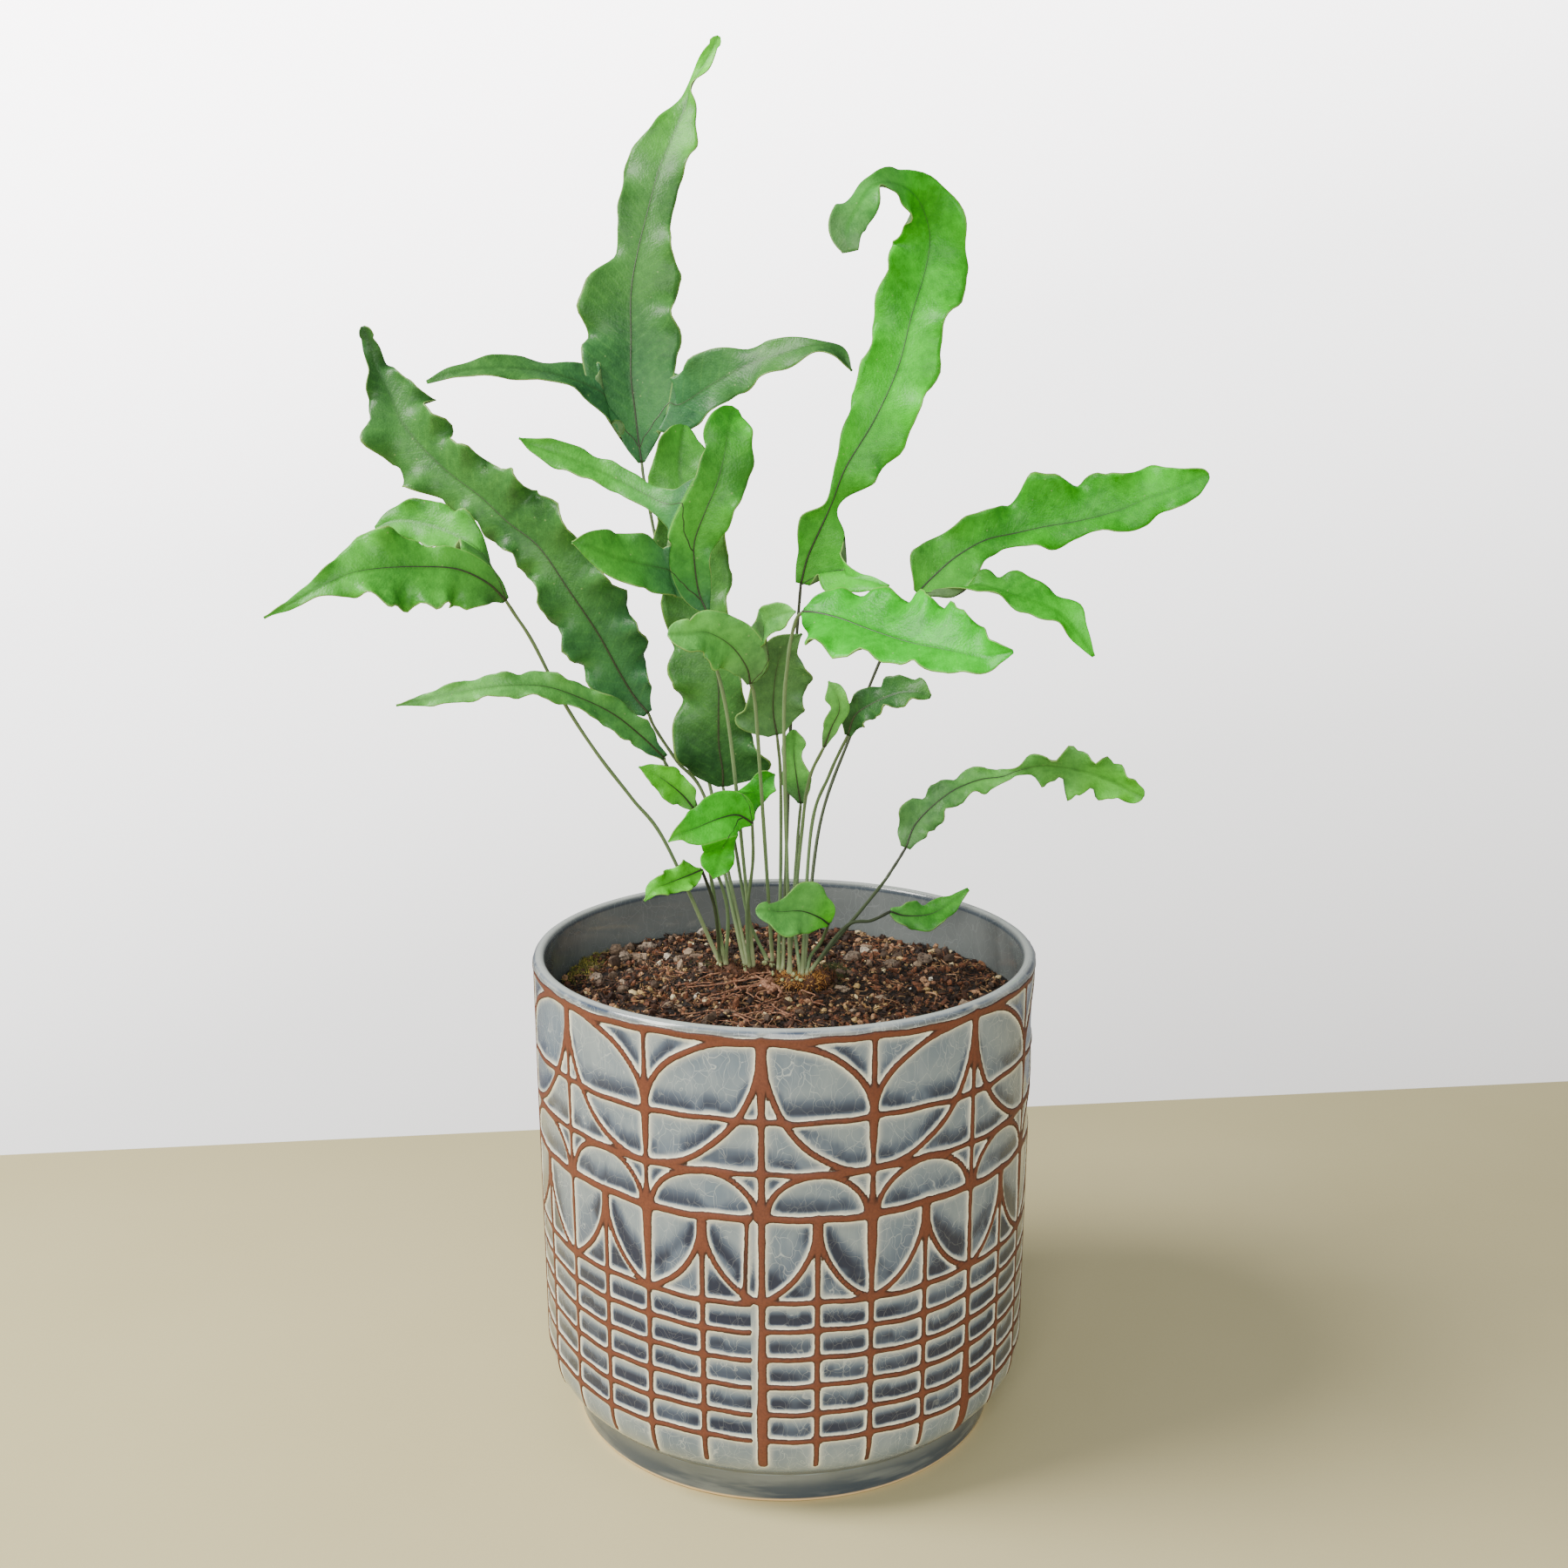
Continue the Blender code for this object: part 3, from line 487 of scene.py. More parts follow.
def soil_top(x, y):
    """Height in mm: the mound, broad heaps of rise * exp(-(distance / reach)^2), and ripples."""
    z = mound(x, y)
    for middle, reach, rise in HEAPS:
        z = z + rise * np.exp(-(((x - middle[0]) / reach[0]) ** 2) - ((y - middle[1]) / reach[1]) ** 2)
    for wave, bend, size in ((0.9, 0.5, 0.35), (-0.6, 1.1, 0.3), (1.7, -1.3, 0.2), (0.35, -0.3, 0.4)):
        z = z + size * np.sin(wave * x + bend * y + 3 * wave)
    return z


chance = np.random.default_rng(7)
around = 128
angle = np.linspace(0, 2 * math.pi, around, endpoint=False)
reach = np.concatenate([[35, 69.9, SOIL_RADIUS], np.linspace(SOIL_RADIUS, 1.5, 40)])[:, None]
x, y = reach * np.cos(angle), reach * np.sin(angle)
z = soil_top(x, y)
z[:3] = np.array([SOIL_UNDERSIDE, 116, 122])[:, None]
poles = [0, 0, SOIL_UNDERSIDE], [0, 0, soil_top(0.0, 0.0)]
bed = np.vstack([poles[0], np.stack([x, y, z], -1).reshape(-1, 3), poles[1]]) * MM
soil = link("soil_bed", mesh_of("soil_bed", bed, turned_faces(len(reach), around)))


def scattered(solid_points, solid_faces, places, scales, turns, rough):
    """Copies of one small solid: points = place + turn (scale * point * jitter), for all copies at once."""
    count, corners = len(places), len(solid_points)
    jitter = 1 + rough * chance.uniform(-1, 1, (count, corners, 1))
    shaped = solid_points[None] * jitter * scales[:, None, :]
    points = np.einsum("nij,nkj->nki", turns, shaped) + places[:, None, :]
    faces = solid_faces[None] + corners * np.arange(count)[:, None, None]
    return points.reshape(-1, 3), faces.reshape(-1, solid_faces.shape[1])


def random_turns(count):
    """Rotation matrices of random unit quaternions."""
    q = chance.normal(size=(count, 4))
    w, a, b, c = unit(q).T
    rows = [
        [1 - 2 * (b * b + c * c), 2 * (a * b - c * w), 2 * (a * c + b * w)],
        [2 * (a * b + c * w), 1 - 2 * (a * a + c * c), 2 * (b * c - a * w)],
        [2 * (a * c - b * w), 2 * (b * c + a * w), 1 - 2 * (a * a + b * b)],
    ]
    return np.moveaxis(np.array(rows), -1, 0)


GOLD = (1 + math.sqrt(5)) / 2
NUGGET = np.array([
    (-1, GOLD, 0), (1, GOLD, 0), (-1, -GOLD, 0), (1, -GOLD, 0), (0, -1, GOLD), (0, 1, GOLD),
    (0, -1, -GOLD), (0, 1, -GOLD), (GOLD, 0, -1), (GOLD, 0, 1), (-GOLD, 0, -1), (-GOLD, 0, 1),
]) / 1.9
NUGGET_FACES = np.array([
    (0, 11, 5), (0, 5, 1), (0, 1, 7), (0, 7, 10), (0, 10, 11), (1, 5, 9), (5, 11, 4), (11, 10, 2),
    (10, 7, 6), (7, 1, 8), (3, 9, 4), (3, 4, 2), (3, 2, 6), (3, 6, 8), (3, 8, 9), (4, 9, 5),
    (2, 4, 11), (6, 2, 10), (8, 6, 7), (9, 8, 1),
])


def in_disc(count, most):
    """Places spread evenly over a disc."""
    far = most * np.sqrt(chance.uniform(0, 1, count))
    way = chance.uniform(0, 2 * math.pi, count)
    return far * np.cos(way), far * np.sin(way)


def nuggets(count, size, flat, sunk, hue, centre=(0, 0), spread=None):
    """Crumbs lying on the soil: (points, faces, tone, hue), with radii from size[0] to size[1] mm."""
    x, y = in_disc(count, spread or SOIL_RADIUS - size[1])
    x, y = x + centre[0], y + centre[1]
    radius = size[0] + (size[1] - size[0]) * chance.uniform(0, 1, (count, 1)) ** 1.7
    wide = [chance.uniform(least, most, count) for least, most in ((0.8, 1.6), (0.55, 1.0), (flat, 1.0))]
    places = np.stack([x, y, soil_top(x, y) + radius[:, 0] * (chance.uniform(0, 1, count) - sunk)], -1)
    turns = random_turns(count)
    points, faces = scattered(NUGGET, NUGGET_FACES, places, radius * np.stack(wide, -1), turns, 0.28)
    tone = np.repeat(chance.uniform(0, 1, count), 12)
    return points, faces, tone, np.full(len(tone), float(hue))


def fibres(count, length, thick, hue):
    """Short bent three-sided strands on the soil: ring i of each is place + bend(i) + thick * corner."""
    x, y = in_disc(count, SOIL_RADIUS - length[1] / 2)
    long = chance.uniform(*length, (count, 1, 1))
    way = unit(chance.normal(size=(count, 1, 3)) * (1, 1, 0.22))
    curl = chance.normal(size=(count, 1, 3)) * (1, 1, 0.3)
    t = np.linspace(-0.5, 0.5, 6)[None, :, None]
    route = np.stack([x, y, soil_top(x, y) + chance.uniform(0.2, 1.3, count)], -1)[:, None]
    route = route + long * (way * t + curl * (t**2 - 0.1) * 0.8)
    side = unit(np.cross(way, curl))
    other = np.cross(way, side)
    size = chance.uniform(*thick, (count, 1, 1)) * np.array((0.3, 1, 1, 1, 0.9, 0.2))[None, :, None]
    ring = np.stack([side * math.cos(a) + other * math.sin(a) for a in THIRDS], 2)
    points = (route[:, :, None] + size[..., None] * ring).reshape(count, 18, 3)
    low = np.arange(5)[:, None] * 3 + np.arange(3)
    next_to = np.arange(5)[:, None] * 3 + (np.arange(3) + 1) % 3
    near = np.stack([low, next_to, next_to + 3], -1).reshape(-1, 3)
    far = np.stack([low, next_to + 3, low + 3], -1).reshape(-1, 3)
    faces = np.vstack([near, far, [(0, 2, 1), (15, 16, 17)]])
    faces = faces[None] + 18 * np.arange(count)[:, None, None]
    tone = np.repeat(chance.uniform(0, 1, count), 18)
    return points.reshape(-1, 3), faces.reshape(-1, 3), tone, np.full(len(tone), float(hue))


def joined(parts):
    """Several (points, faces, tone, hue) made one."""
    starts = np.cumsum([0] + [len(p[0]) for p in parts[:-1]])
    points = np.vstack([p[0] for p in parts])
    faces = np.vstack([p[1] + s for p, s in zip(parts, starts)])
    return points, faces, np.concatenate([p[2] for p in parts]), np.concatenate([p[3] for p in parts])


def crumb_piece(name, parts):
    """One mesh of all these crumbs, with flat faces."""
    points, faces, tone, hue = joined(parts)
    mesh = mesh_of(name, points * MM, faces, {"tone": tone, "hue": hue})
    mesh.shade_flat()
    return link(name, mesh)


PEAT, BARK, PEBBLE, PERLITE, MOSS = 0, 1, 2, 3, 4
crumbs = crumb_piece("soil_crumbs", [nuggets(9000, (0.22, 0.85), 0.5, 0.3, PEAT)])
chips = crumb_piece("soil_chips", [
    nuggets(3800, (0.3, 1.35), 0.25, 0.0, BARK),
    nuggets(500, (0.25, 0.6), 0.7, 0.0, PERLITE),
    nuggets(130, (0.7, 1.5), 0.7, -0.1, PERLITE),
    nuggets(90, (1.0, 2.3), 0.6, 0.0, PEBBLE),
    nuggets(26, (1.2, 2.6), 0.6, 0.1, PEBBLE, (-44, 26), 17),
    nuggets(20, (1.2, 2.4), 0.6, 0.1, PEBBLE, (40, 34), 18),
    nuggets(600, (0.25, 0.9), 0.4, -1.0, PEAT, (-5, 6), 18),
    nuggets(260, (0.4, 1.2), 0.25, -0.6, BARK, (-5, 6), 18),
])
strands = crumb_piece("soil_fibres", [
    fibres(2600, (2.0, 5.0), (0.07, 0.16), PEAT), fibres(1500, (2.5, 7.5), (0.08, 0.20), BARK),
])

stuff, tree, shader, place = material("bark soil")
tone, hue = spot(tree, "tone"), spot(tree, "hue")
grain = noise(tree, place, 1400, 4, 0.65)
mixed = swayed(tree, noise(tree, place, 45, 3), 0.9, tone)
colour = ramp(
    tree, mixed, (0.1, (0.008, 0.004, 0.002)), (0.5, (0.032, 0.015, 0.006)), (0.8, (0.14, 0.065, 0.024)),
    (1.0, (0.50, 0.30, 0.13)),
)
for kind, stops in {
    BARK: (
        (0.0, (0.016, 0.007, 0.004)), (0.45, (0.070, 0.025, 0.010)),
        (0.8, (0.25, 0.088, 0.034)), (1.0, (0.62, 0.36, 0.19)),
    ),
    PEBBLE: (
        (0.0, (0.08, 0.048, 0.030)), (0.5, (0.19, 0.125, 0.080)),
        (0.85, (0.36, 0.26, 0.17)), (1.0, (0.55, 0.47, 0.36)),
    ),
    PERLITE: (
        (0.0, (0.36, 0.19, 0.06)), (0.5, (0.72, 0.50, 0.20)),
        (0.85, (0.95, 0.82, 0.50)), (1.0, (0.97, 0.93, 0.80)),
    ),
    MOSS: ((0.0, (0.030, 0.042, 0.010)), (0.5, (0.095, 0.115, 0.022)), (1.0, (0.50, 0.42, 0.07))),
}.items():
    colour = blend(tree, fade(tree, hue, kind - 0.6, kind - 0.4), colour, ramp(tree, tone, *stops))
colour = blend(tree, fade(tree, grain, 0.32, 0.58, 0.7, 0.0), colour, (0.010, 0.005, 0.003))
feed(tree, shader, Base_Color=colour, Roughness=fade(tree, grain, 0.3, 0.7, 0.6, 0.95))
bumped(tree, shader, grain, 0.8, 0.0004)
for piece in (soil, crumbs, chips, strands):
    piece.data.materials.append(stuff)
    keep(piece, "soil", "soil")


def spikes(places, ways, lengths, thick):
    """Thin three-sided spikes: three base corners and a tip each, closed below."""
    side = unit(np.cross(ways, chance.normal(size=ways.shape)))
    other = np.cross(ways, side)
    corners = [places + thick * (side * math.cos(a) + other * math.sin(a)) for a in THIRDS]
    points = np.stack([*corners, places + ways * lengths[:, None]], 1)
    faces = np.array([(0, 2, 1), (0, 1, 3), (1, 2, 3), (2, 0, 3)])
    faces = faces[None] + 4 * np.arange(len(places))[:, None, None]
    return points.reshape(-1, 3), faces.reshape(-1, 3)


MOSS_PATCHES = (  # middle (x, y) and reach (x, y) in mm, spikes, brightness
    ((15, 12), (3.5, 7), 1500, 0.35), ((-64, 22), (5, 13), 1700, 0.9), ((-20, 20), (6, 4), 500, 0.5),
)
tufts = []
for middle, wide, count, bright in MOSS_PATCHES:
    spread = chance.normal(size=(count, 2)) * np.array(wide) * 0.55 + middle
    spread *= np.minimum(1, 68.5 / np.linalg.norm(spread, axis=1, keepdims=True))
    places = np.column_stack([spread, soil_top(*spread.T) + 0.1 + chance.uniform(0, 1.2, count)])
    ways = unit(chance.normal(size=(count, 3)) + (0, 0, 1.2))
    made = spikes(places, ways, chance.uniform(0.6, 1.7, count), 0.14)
    tone = np.repeat(bright * chance.uniform(0.2, 1.1, count), 4)
    tufts.append((*made, tone, np.full(len(tone), float(MOSS))))
moss = crumb_piece("soil_moss", tufts)
moss.data.materials.append(stuff)
keep(moss, "soil", "soil")


# ---- Stones ----
# Six small rough brown stones with broken faces and a pitted skin. Each lies loose, about a fifth sunk in
# the soil.

STONES = {  # x, y, length, width and height in mm, and turn in degrees
    "stone_1": (-45, 43, 8, 6, 5, 20), "stone_2": (-51, 28, 7, 5.5, 4.5, 75),
    "stone_3": (-58, 9, 6.5, 5, 4, 110), "stone_4": (22, 31, 8, 6, 4.5, 40),
    "stone_5": (34, 26, 6, 5, 4, 0), "stone_6": (45, 29, 7.5, 6, 5, 150),
}


def dots(tree, place, scale):
    """Distance to the nearest centre of a Voronoi pattern."""
    return add(tree, "TexVoronoi", {"Vector": place, "Scale": scale}).outputs["Distance"]


def finer(points, faces):
    """Each triangle in four, with the new corners on the unit sphere."""
    ends = np.sort(np.concatenate([faces[:, [0, 1]], faces[:, [1, 2]], faces[:, [2, 0]]]), axis=1)
    pairs, index = np.unique(ends, axis=0, return_inverse=True)
    middle = unit(points[pairs].mean(1))
    ab, bc, ca = index.reshape(3, -1) + len(points)
    a, b, c = faces.T
    made = [np.stack(t, -1) for t in ((a, ab, ca), (b, bc, ab), (c, ca, bc), (ab, bc, ca))]
    return np.vstack([points, middle]), np.concatenate(made)


ball, ball_faces = NUGGET / np.linalg.norm(NUGGET[0]), NUGGET_FACES
for _ in range(3):
    ball, ball_faces = finer(ball, ball_faces)

stuff, tree, shader, place = material("stone")
grain = noise(tree, place, 1800, 5, 0.7)
cloud = noise(tree, place, 350, 3)
colour = ramp(
    tree, cloud, (0.3, (0.13, 0.088, 0.060)), (0.55, (0.24, 0.180, 0.130)), (0.75, (0.40, 0.33, 0.25)),
)
pits = dots(tree, place, 950)
pitted = fade(tree, swayed(tree, grain, 0.8, pits), 0.12, 0.42, 0.85, 0.0)
colour = blend(tree, pitted, colour, (0.022, 0.012, 0.007))
feed(tree, shader, Base_Color=colour, Roughness=0.85)
bumped(tree, shader, calc(tree, "MULTIPLY_ADD", pitted, -1.0, grain), 0.9, 0.0006)
for name, (x, y, length, width, tall, turned_by) in STONES.items():
    bend = math.radians(turned_by)
    lump = ball.copy()
    for facet in chance.normal(size=(9, 3)):
        facet = unit(facet)
        over = np.clip(lump @ facet - chance.uniform(0.66, 0.82), 0, None)
        lump = lump - over[:, None] * facet * 0.9
    waves = np.sin(7 * lump @ chance.normal(size=(3, 3))).sum(1, keepdims=True)
    lump = lump * (1 + 0.05 * waves) * (0.42 * length, 0.42 * width, 0.42 * tall)
    cos, sin = math.cos(bend), math.sin(bend)
    lump = lump @ np.array([[cos, sin, 0], [-sin, cos, 0], [0, 0, 1]])
    lump = lump + (x, y, float(soil_top(x, y)) + 0.26 * tall)
    rock = link(name.replace("stone", "rough_stone"), mesh_of(name + "_mesh", lump * MM, ball_faces))
    rock.data.materials.append(stuff)
    keep(rock, "stone", name)


# ---- Fronds ----
# Twenty fronds of thin leathery tissue, each on a wiry stipe that rises from a rhizome and runs on into
# the blade as a dark midrib. Margins are wavy, and faces differ in green.

# In mm, with heights above the soil. "root" is the rhizome that the stipe grows from, and how far along.
# "stipe" is its route, upwards. A blade's stations run from base to tip: (x, y, z, half-width to the left,
# half-width to the right, turn of the face in degrees). A lobe is (side, the first of the three blade
# stations that it grows from, its own stations).
FRONDS = {
    "frond_01": {  # tall
        "root": ("rhizome_left", 0.52),
        "stipe": [
            (-17, 11, 46), (-28, 14, 88), (-35, 17, 119), (-41, 19, 150),
        ],
        "blade": [
            (-42, 20, 157, 1, 1, 0), (-43, 21, 164, 5, 6.5, 0), (-44, 22, 173, 9.5, 10.5, 0),
            (-45, 23, 182, 13, 13, 0), (-45, 26, 193, 14, 14, -5), (-45, 29, 206, 13, 13.5, -5),
            (-43, 32, 218, 6.5, 12, -10), (-40, 35, 230, 9, 7, -10), (-37, 38, 241, 10.5, 9, -15),
            (-33, 41, 251, 8, 8.5, -20), (-29, 43, 260, 4, 4.5, -30), (-27, 43, 266, 2.5, 2.5, -60),
            (-23, 42, 272, 2.5, 2.5, -20), (-19, 41, 279, 0.5, 0.5, 0),
        ],
        "lobes": [
            ("left", 1, [
                (-53, 19, 177, 6.5, 6.5, 35), (-65, 14, 182, 5.5, 5.5, 50), (-79, 8, 184, 5, 5, 50),
                (-92, 4, 183, 2.5, 2.5, 40), (-101, 2, 180, 0.5, 0.5, 20),
            ]),
            ("right", 1, [
                (-30, 19, 174, 8, 8, -15), (-20, 14, 180, 9, 7, -20), (-10, 9, 185, 5.5, 7, -25),
                (0, 4, 188, 4.5, 6.5, -35), (9, 0, 190, 2.5, 3.5, -45), (15, -2, 188, 2.5, 2.5, -30),
                (19, -3, 183, 0, 0, 0),
            ]),
        ],
    },
    "frond_02": {  # big dark left
        "root": ("rhizome_left", 0.42),
        "stipe": [
            (-19, 9, 32), (-23, 8, 56), (-32, 6, 70), (-38, 4, 80),
        ],
        "blade": [
            (-40, 3, 85, 1.5, 1.5, 0), (-44, 3, 90, 5.5, 5.5, 0), (-48, 2, 97, 8.5, 9, 5),
            (-54, 0, 109, 10.5, 12, 10), (-62, -2, 122, 9, 11.5, 10), (-70, -2, 134, 7.5, 11, 5),
            (-79, 0, 141, 7, 13, 0), (-87, 3, 148, 7, 11, -5), (-97, 7, 155, 9, 9.5, -5),
            (-105, 11, 162, 10.5, 10, -5), (-111, 14, 169, 10, 10.5, 0), (-115, 17, 177, 6.5, 7.5, 10),
            (-119, 19, 184, 2.5, 3.5, 20), (-120, 19, 190, 2.5, 2.5, 0), (-122, 18, 196, 0.5, 0.5, 0),
        ],
        "lobes": [],
    },
    "frond_03": {  # left arching
        "root": ("rhizome_left", 0.0),
        "stipe": [
            (-26, 3, 34), (-35, -3, 47), (-44, -10, 62), (-53, -18, 77), (-61, -26, 93),
            (-68, -34, 111), (-72, -38, 119),
        ],
        "blade": [
            (-74, -40, 123, 1, 1, 20), (-78, -44, 128, 7, 3.5, 30), (-85, -48, 132, 10.5, 5, 30),
            (-94, -52, 133, 11.5, 6, 30), (-103, -56, 133, 11, 9.5, 30), (-110, -59, 132, 7.5, 6, 30),
            (-117, -61, 129, 3, 2.5, 20), (-124, -62, 125, 1.5, 1.5, 10), (-132, -62, 121, 0, 0, 0),
        ],
        "lobes": [
            ("right", 0, [
                (-82, -38, 137, 6.5, 5.5, 35), (-91, -33, 141, 6.5, 6.5, 30),
                (-100, -29, 143, 5.5, 5.5, 30), (-106, -27, 143, 4, 3.5, 30),
                (-111, -26, 141, 0.5, 0.5, 30),
            ]),
        ],
    },
    "frond_04": {  # narrow left
        "root": ("rhizome_left", 0.22),
        "stipe": [
            (-17, -2, 35), (-25, -12, 59), (-33, -18, 73),
        ],
        "blade": [
            (-34, -19, 76, 1, 1, 30), (-40, -23, 83, 3.5, 3.5, 30), (-47, -28, 90, 4.5, 4, 30),
            (-55, -32, 95, 3.5, 3.5, 30), (-64, -36, 99, 4, 4, 30), (-73, -39, 100, 3.5, 3.5, 30),
            (-84, -41, 99, 3, 3, 20), (-94, -42, 97, 2, 2, 10), (-104, -42, 95, 0, 0, 0),
        ],
        "lobes": [],
    },
    "frond_05": {  # blue-green three-lobed
        "root": ("rhizome_left", 0.7),
        "stipe": [
            (-11, -8, 45), (-15, -20, 81), (-19, -28, 105), (-21, -30, 116),
        ],
        "blade": [
            (-21, -31, 119, 1, 1, 0), (-23, -31, 124, 4.5, 3.5, 0), (-24, -32, 131, 6.5, 4, 0),
            (-24, -33, 138, 7, 6, 0), (-21, -34, 146, 6.5, 7, 0), (-18, -34, 153, 6, 8, 5),
            (-16, -33, 160, 6, 7.5, 5), (-15, -31, 167, 6, 7, 10), (-14, -29, 171, 4, 4, 10),
            (-13, -28, 173, 1, 1, 10),
        ],
        "lobes": [
            ("left", 1, [
                (-32, -36, 131, 7.5, 5.5, 20), (-39, -41, 133, 7.5, 8, 25),
                (-45, -45, 135, 5.5, 7, 25), (-51, -48, 138, 3, 4, 20), (-55, -49, 139, 0, 0, 15),
            ]),
            ("left", 3, [
                (-32, -31, 148, 4, 4, 10), (-41, -26, 152, 3.5, 3.5, 30), (-50, -22, 156, 4.5, 4, 45),
                (-60, -20, 160, 4.5, 4, 40), (-68, -20, 163, 2, 2, 20), (-72, -21, 165, 0, 0, 10),
            ]),
        ],
    },
    "frond_06": {  # tall right
        "root": ("rhizome_right", 0.135),
        "stipe": [
            (0, 8, 41), (2, 13, 80), (4, 15, 109),
        ],
        "blade": [
            (5, 14, 122, 1.5, 2.5, 0), (7, 13, 130, 3.5, 11.5, 5), (11, 12, 139, 7, 7.5, 10),
            (14, 12, 146, 2.5, 3, 50), (18, 12, 156, 3.5, 9, 10), (26, 13, 169, 8.5, 10.5, 0),
            (33, 16, 184, 10, 11, -5), (37, 19, 199, 10.5, 10.5, -5), (41, 22, 212, 11.5, 12.5, -5),
            (42, 22, 222, 9.5, 10.5, 0), (38, 17, 231, 7.5, 7.5, 5), (31, 8, 234, 4.5, 4.5, 20),
            (24, -2, 232, 3.5, 3.5, 40), (20, -9, 226, 5.5, 5, 20), (17, -13, 220, 5, 5, 10),
            (18, -14, 214, 2, 2.5, 0),
        ],
        "lobes": [
            ("right", 0, [
                (19, 6, 125, 2.5, 6.5, -30), (25, 0, 124, 1.5, 4, -35), (30, -4, 123, 0.5, 0.5, -30),
            ]),
        ],
    },
    "frond_07": {  # bright front right
        "root": ("rhizome_right", 0.32),
        "stipe": [
            (1, -12, 46), (0, -30, 83), (1, -42, 107), (3, -46, 118),
        ],
        "blade": [
            (5, -48, 121, 1, 1, -20), (9, -52, 121, 6.5, 6.5, -35), (15, -57, 120, 10, 13, -40),
            (22, -63, 118, 12.5, 12.5, -40), (31, -71, 116, 13, 8, -40),
            (40, -78, 115, 10.5, 7.5, -40), (48, -83, 114, 6, 5.5, -35), (52, -86, 115, 3, 2.5, -30),
            (55, -88, 116, 0.5, 0.5, -20),
        ],
        "lobes": [],
    },
    "frond_08": {  # right ascending
        "root": ("rhizome_right", 0.58),
        "stipe": [
            (5, 14, 23), (11, 22, 46), (21, 30, 74), (32, 34, 101),
        ],
        "blade": [
            (41, 34, 117, 1.5, 1.5, -10), (46, 35, 122, 9, 9, -10), (53, 36, 128, 9, 9, -15),
            (62, 37, 133, 7.5, 5.5, -20), (71, 38, 135, 10, 4, -20), (80, 38, 137, 14, 8, -20),
            (91, 37, 139, 12.5, 4.5, -20), (102, 36, 142, 11, 7, -20), (111, 34, 146, 9.5, 6.5, -15),
            (119, 32, 149, 6.5, 5.5, -10), (125, 30, 152, 3.5, 3.5, -5), (128, 29, 153, 0.5, 0.5, 0),
        ],
        "lobes": [
            ("right", 0, [
                (58, 28, 120, 6, 4.5, -55), (65, 23, 119, 6.5, 5, -60), (75, 19, 116, 6.5, 5.5, -55),
                (82, 17, 113, 7, 4.5, -40), (88, 16, 107, 3, 3, -20), (93, 16, 100, 0.5, 0.5, 0),
            ]),
        ],
    },
    "frond_09": {  # far right low
        "root": ("rhizome_right", 0.97),
        "stipe": [
            (18, 22, 15), (29, 31, 22), (35, 36, 29),
        ],
        "blade": [
            (39, 38, 35, 1.5, 1.5, -10), (42, 40, 42, 6, 5.5, -20), (48, 42, 48, 5, 5.5, -35),
            (55, 43, 53, 4, 4.5, -40), (63, 44, 56, 4, 4.5, -35), (70, 44, 57, 2.5, 2.5, -30),
            (75, 44, 59, 1.5, 1.5, 0), (83, 43, 61, 5.5, 6.5, 40), (94, 41, 60, 8, 8.5, 35),
            (104, 39, 57, 6.5, 6, 30), (110, 37, 54, 3, 3, 20), (114, 36, 52, 0.5, 0.5, 10),
        ],
        "lobes": [],
    },
    "frond_10": {  # small right leaf
        "root": ("rhizome_right", 0.88),
        "stipe": [
            (19, 11, 17), (27, 14, 18),
        ],
        "blade": [
            (33, 17, 20, 1, 1, -30), (38, 19, 18, 4, 4, -35), (46, 21, 18, 4, 5, -35),
            (52, 23, 21, 2.5, 3, -30), (58, 25, 25, 0.5, 0.5, -20),
        ],
        "lobes": [],
    },
    "frond_11": {  # round low front
        "root": ("rhizome_right", 0.68),
        "stipe": [
            (8, -3, 12), (11, -8, 18),
        ],
        "blade": [
            (13, -16, 26, 1, 1, 20), (10, -19, 29, 4, 6.5, 25), (5, -23, 32, 7, 8, 30),
            (-1, -27, 33, 7, 3.5, 30), (-5, -29, 34, 3.5, 1.5, 30), (-8, -30, 34, 0.5, 0.5, 30),
        ],
        "lobes": [],
    },
    "frond_12": {  # small left wavy
        "root": ("rhizome_left", 0.12),
        "stipe": [
            (-20, -2, 21), (-21, -6, 30),
        ],
        "blade": [
            (-24, -11, 41, 0.5, 0.5, 20), (-28, -14, 40, 4, 4, 25), (-33, -18, 39, 3.5, 3.5, 25),
            (-37, -21, 38, 2.5, 2.5, 20), (-40, -23, 35, 0, 0, 10),
        ],
        "lobes": [],
    },
    "frond_13": {  # pale small
        "root": ("rhizome_left", 0.32),
        "stipe": [
            (-17, -4, 28), (-22, -12, 47),
        ],
        "blade": [
            (-26, -17, 61, 1, 1, 10), (-29, -18, 65, 3.5, 4, 10), (-33, -20, 69, 4, 4.5, 15),
            (-37, -21, 72, 2.5, 3, 15), (-41, -22, 74, 0, 0, 10),
        ],
        "lobes": [],
    },
    "frond_14": {  # bright small
        "root": ("rhizome_left", 0.6),
        "stipe": [
            (-11, -6, 26), (-9, -17, 45),
        ],
        "blade": [
            (-9, -23, 58, 1, 1, 20), (-13, -26, 61, 5.5, 6, 25), (-18, -30, 61, 6, 7, 25),
            (-25, -34, 59, 5, 4.5, 20), (-29, -36, 58, 2, 2, 15), (-32, -37, 56, 0, 0, 10),
        ],
        "lobes": [],
    },
    "frond_15": {  # pale folded
        "root": ("rhizome_left", 0.92),
        "stipe": [
            (-8, -14, 47), (-7, -32, 81), (-8, -40, 97),
        ],
        "blade": [
            (-9, -42, 101, 1, 1, 10), (-10, -45, 106, 3.5, 6, 10), (-14, -48, 112, 7.5, 7, 15),
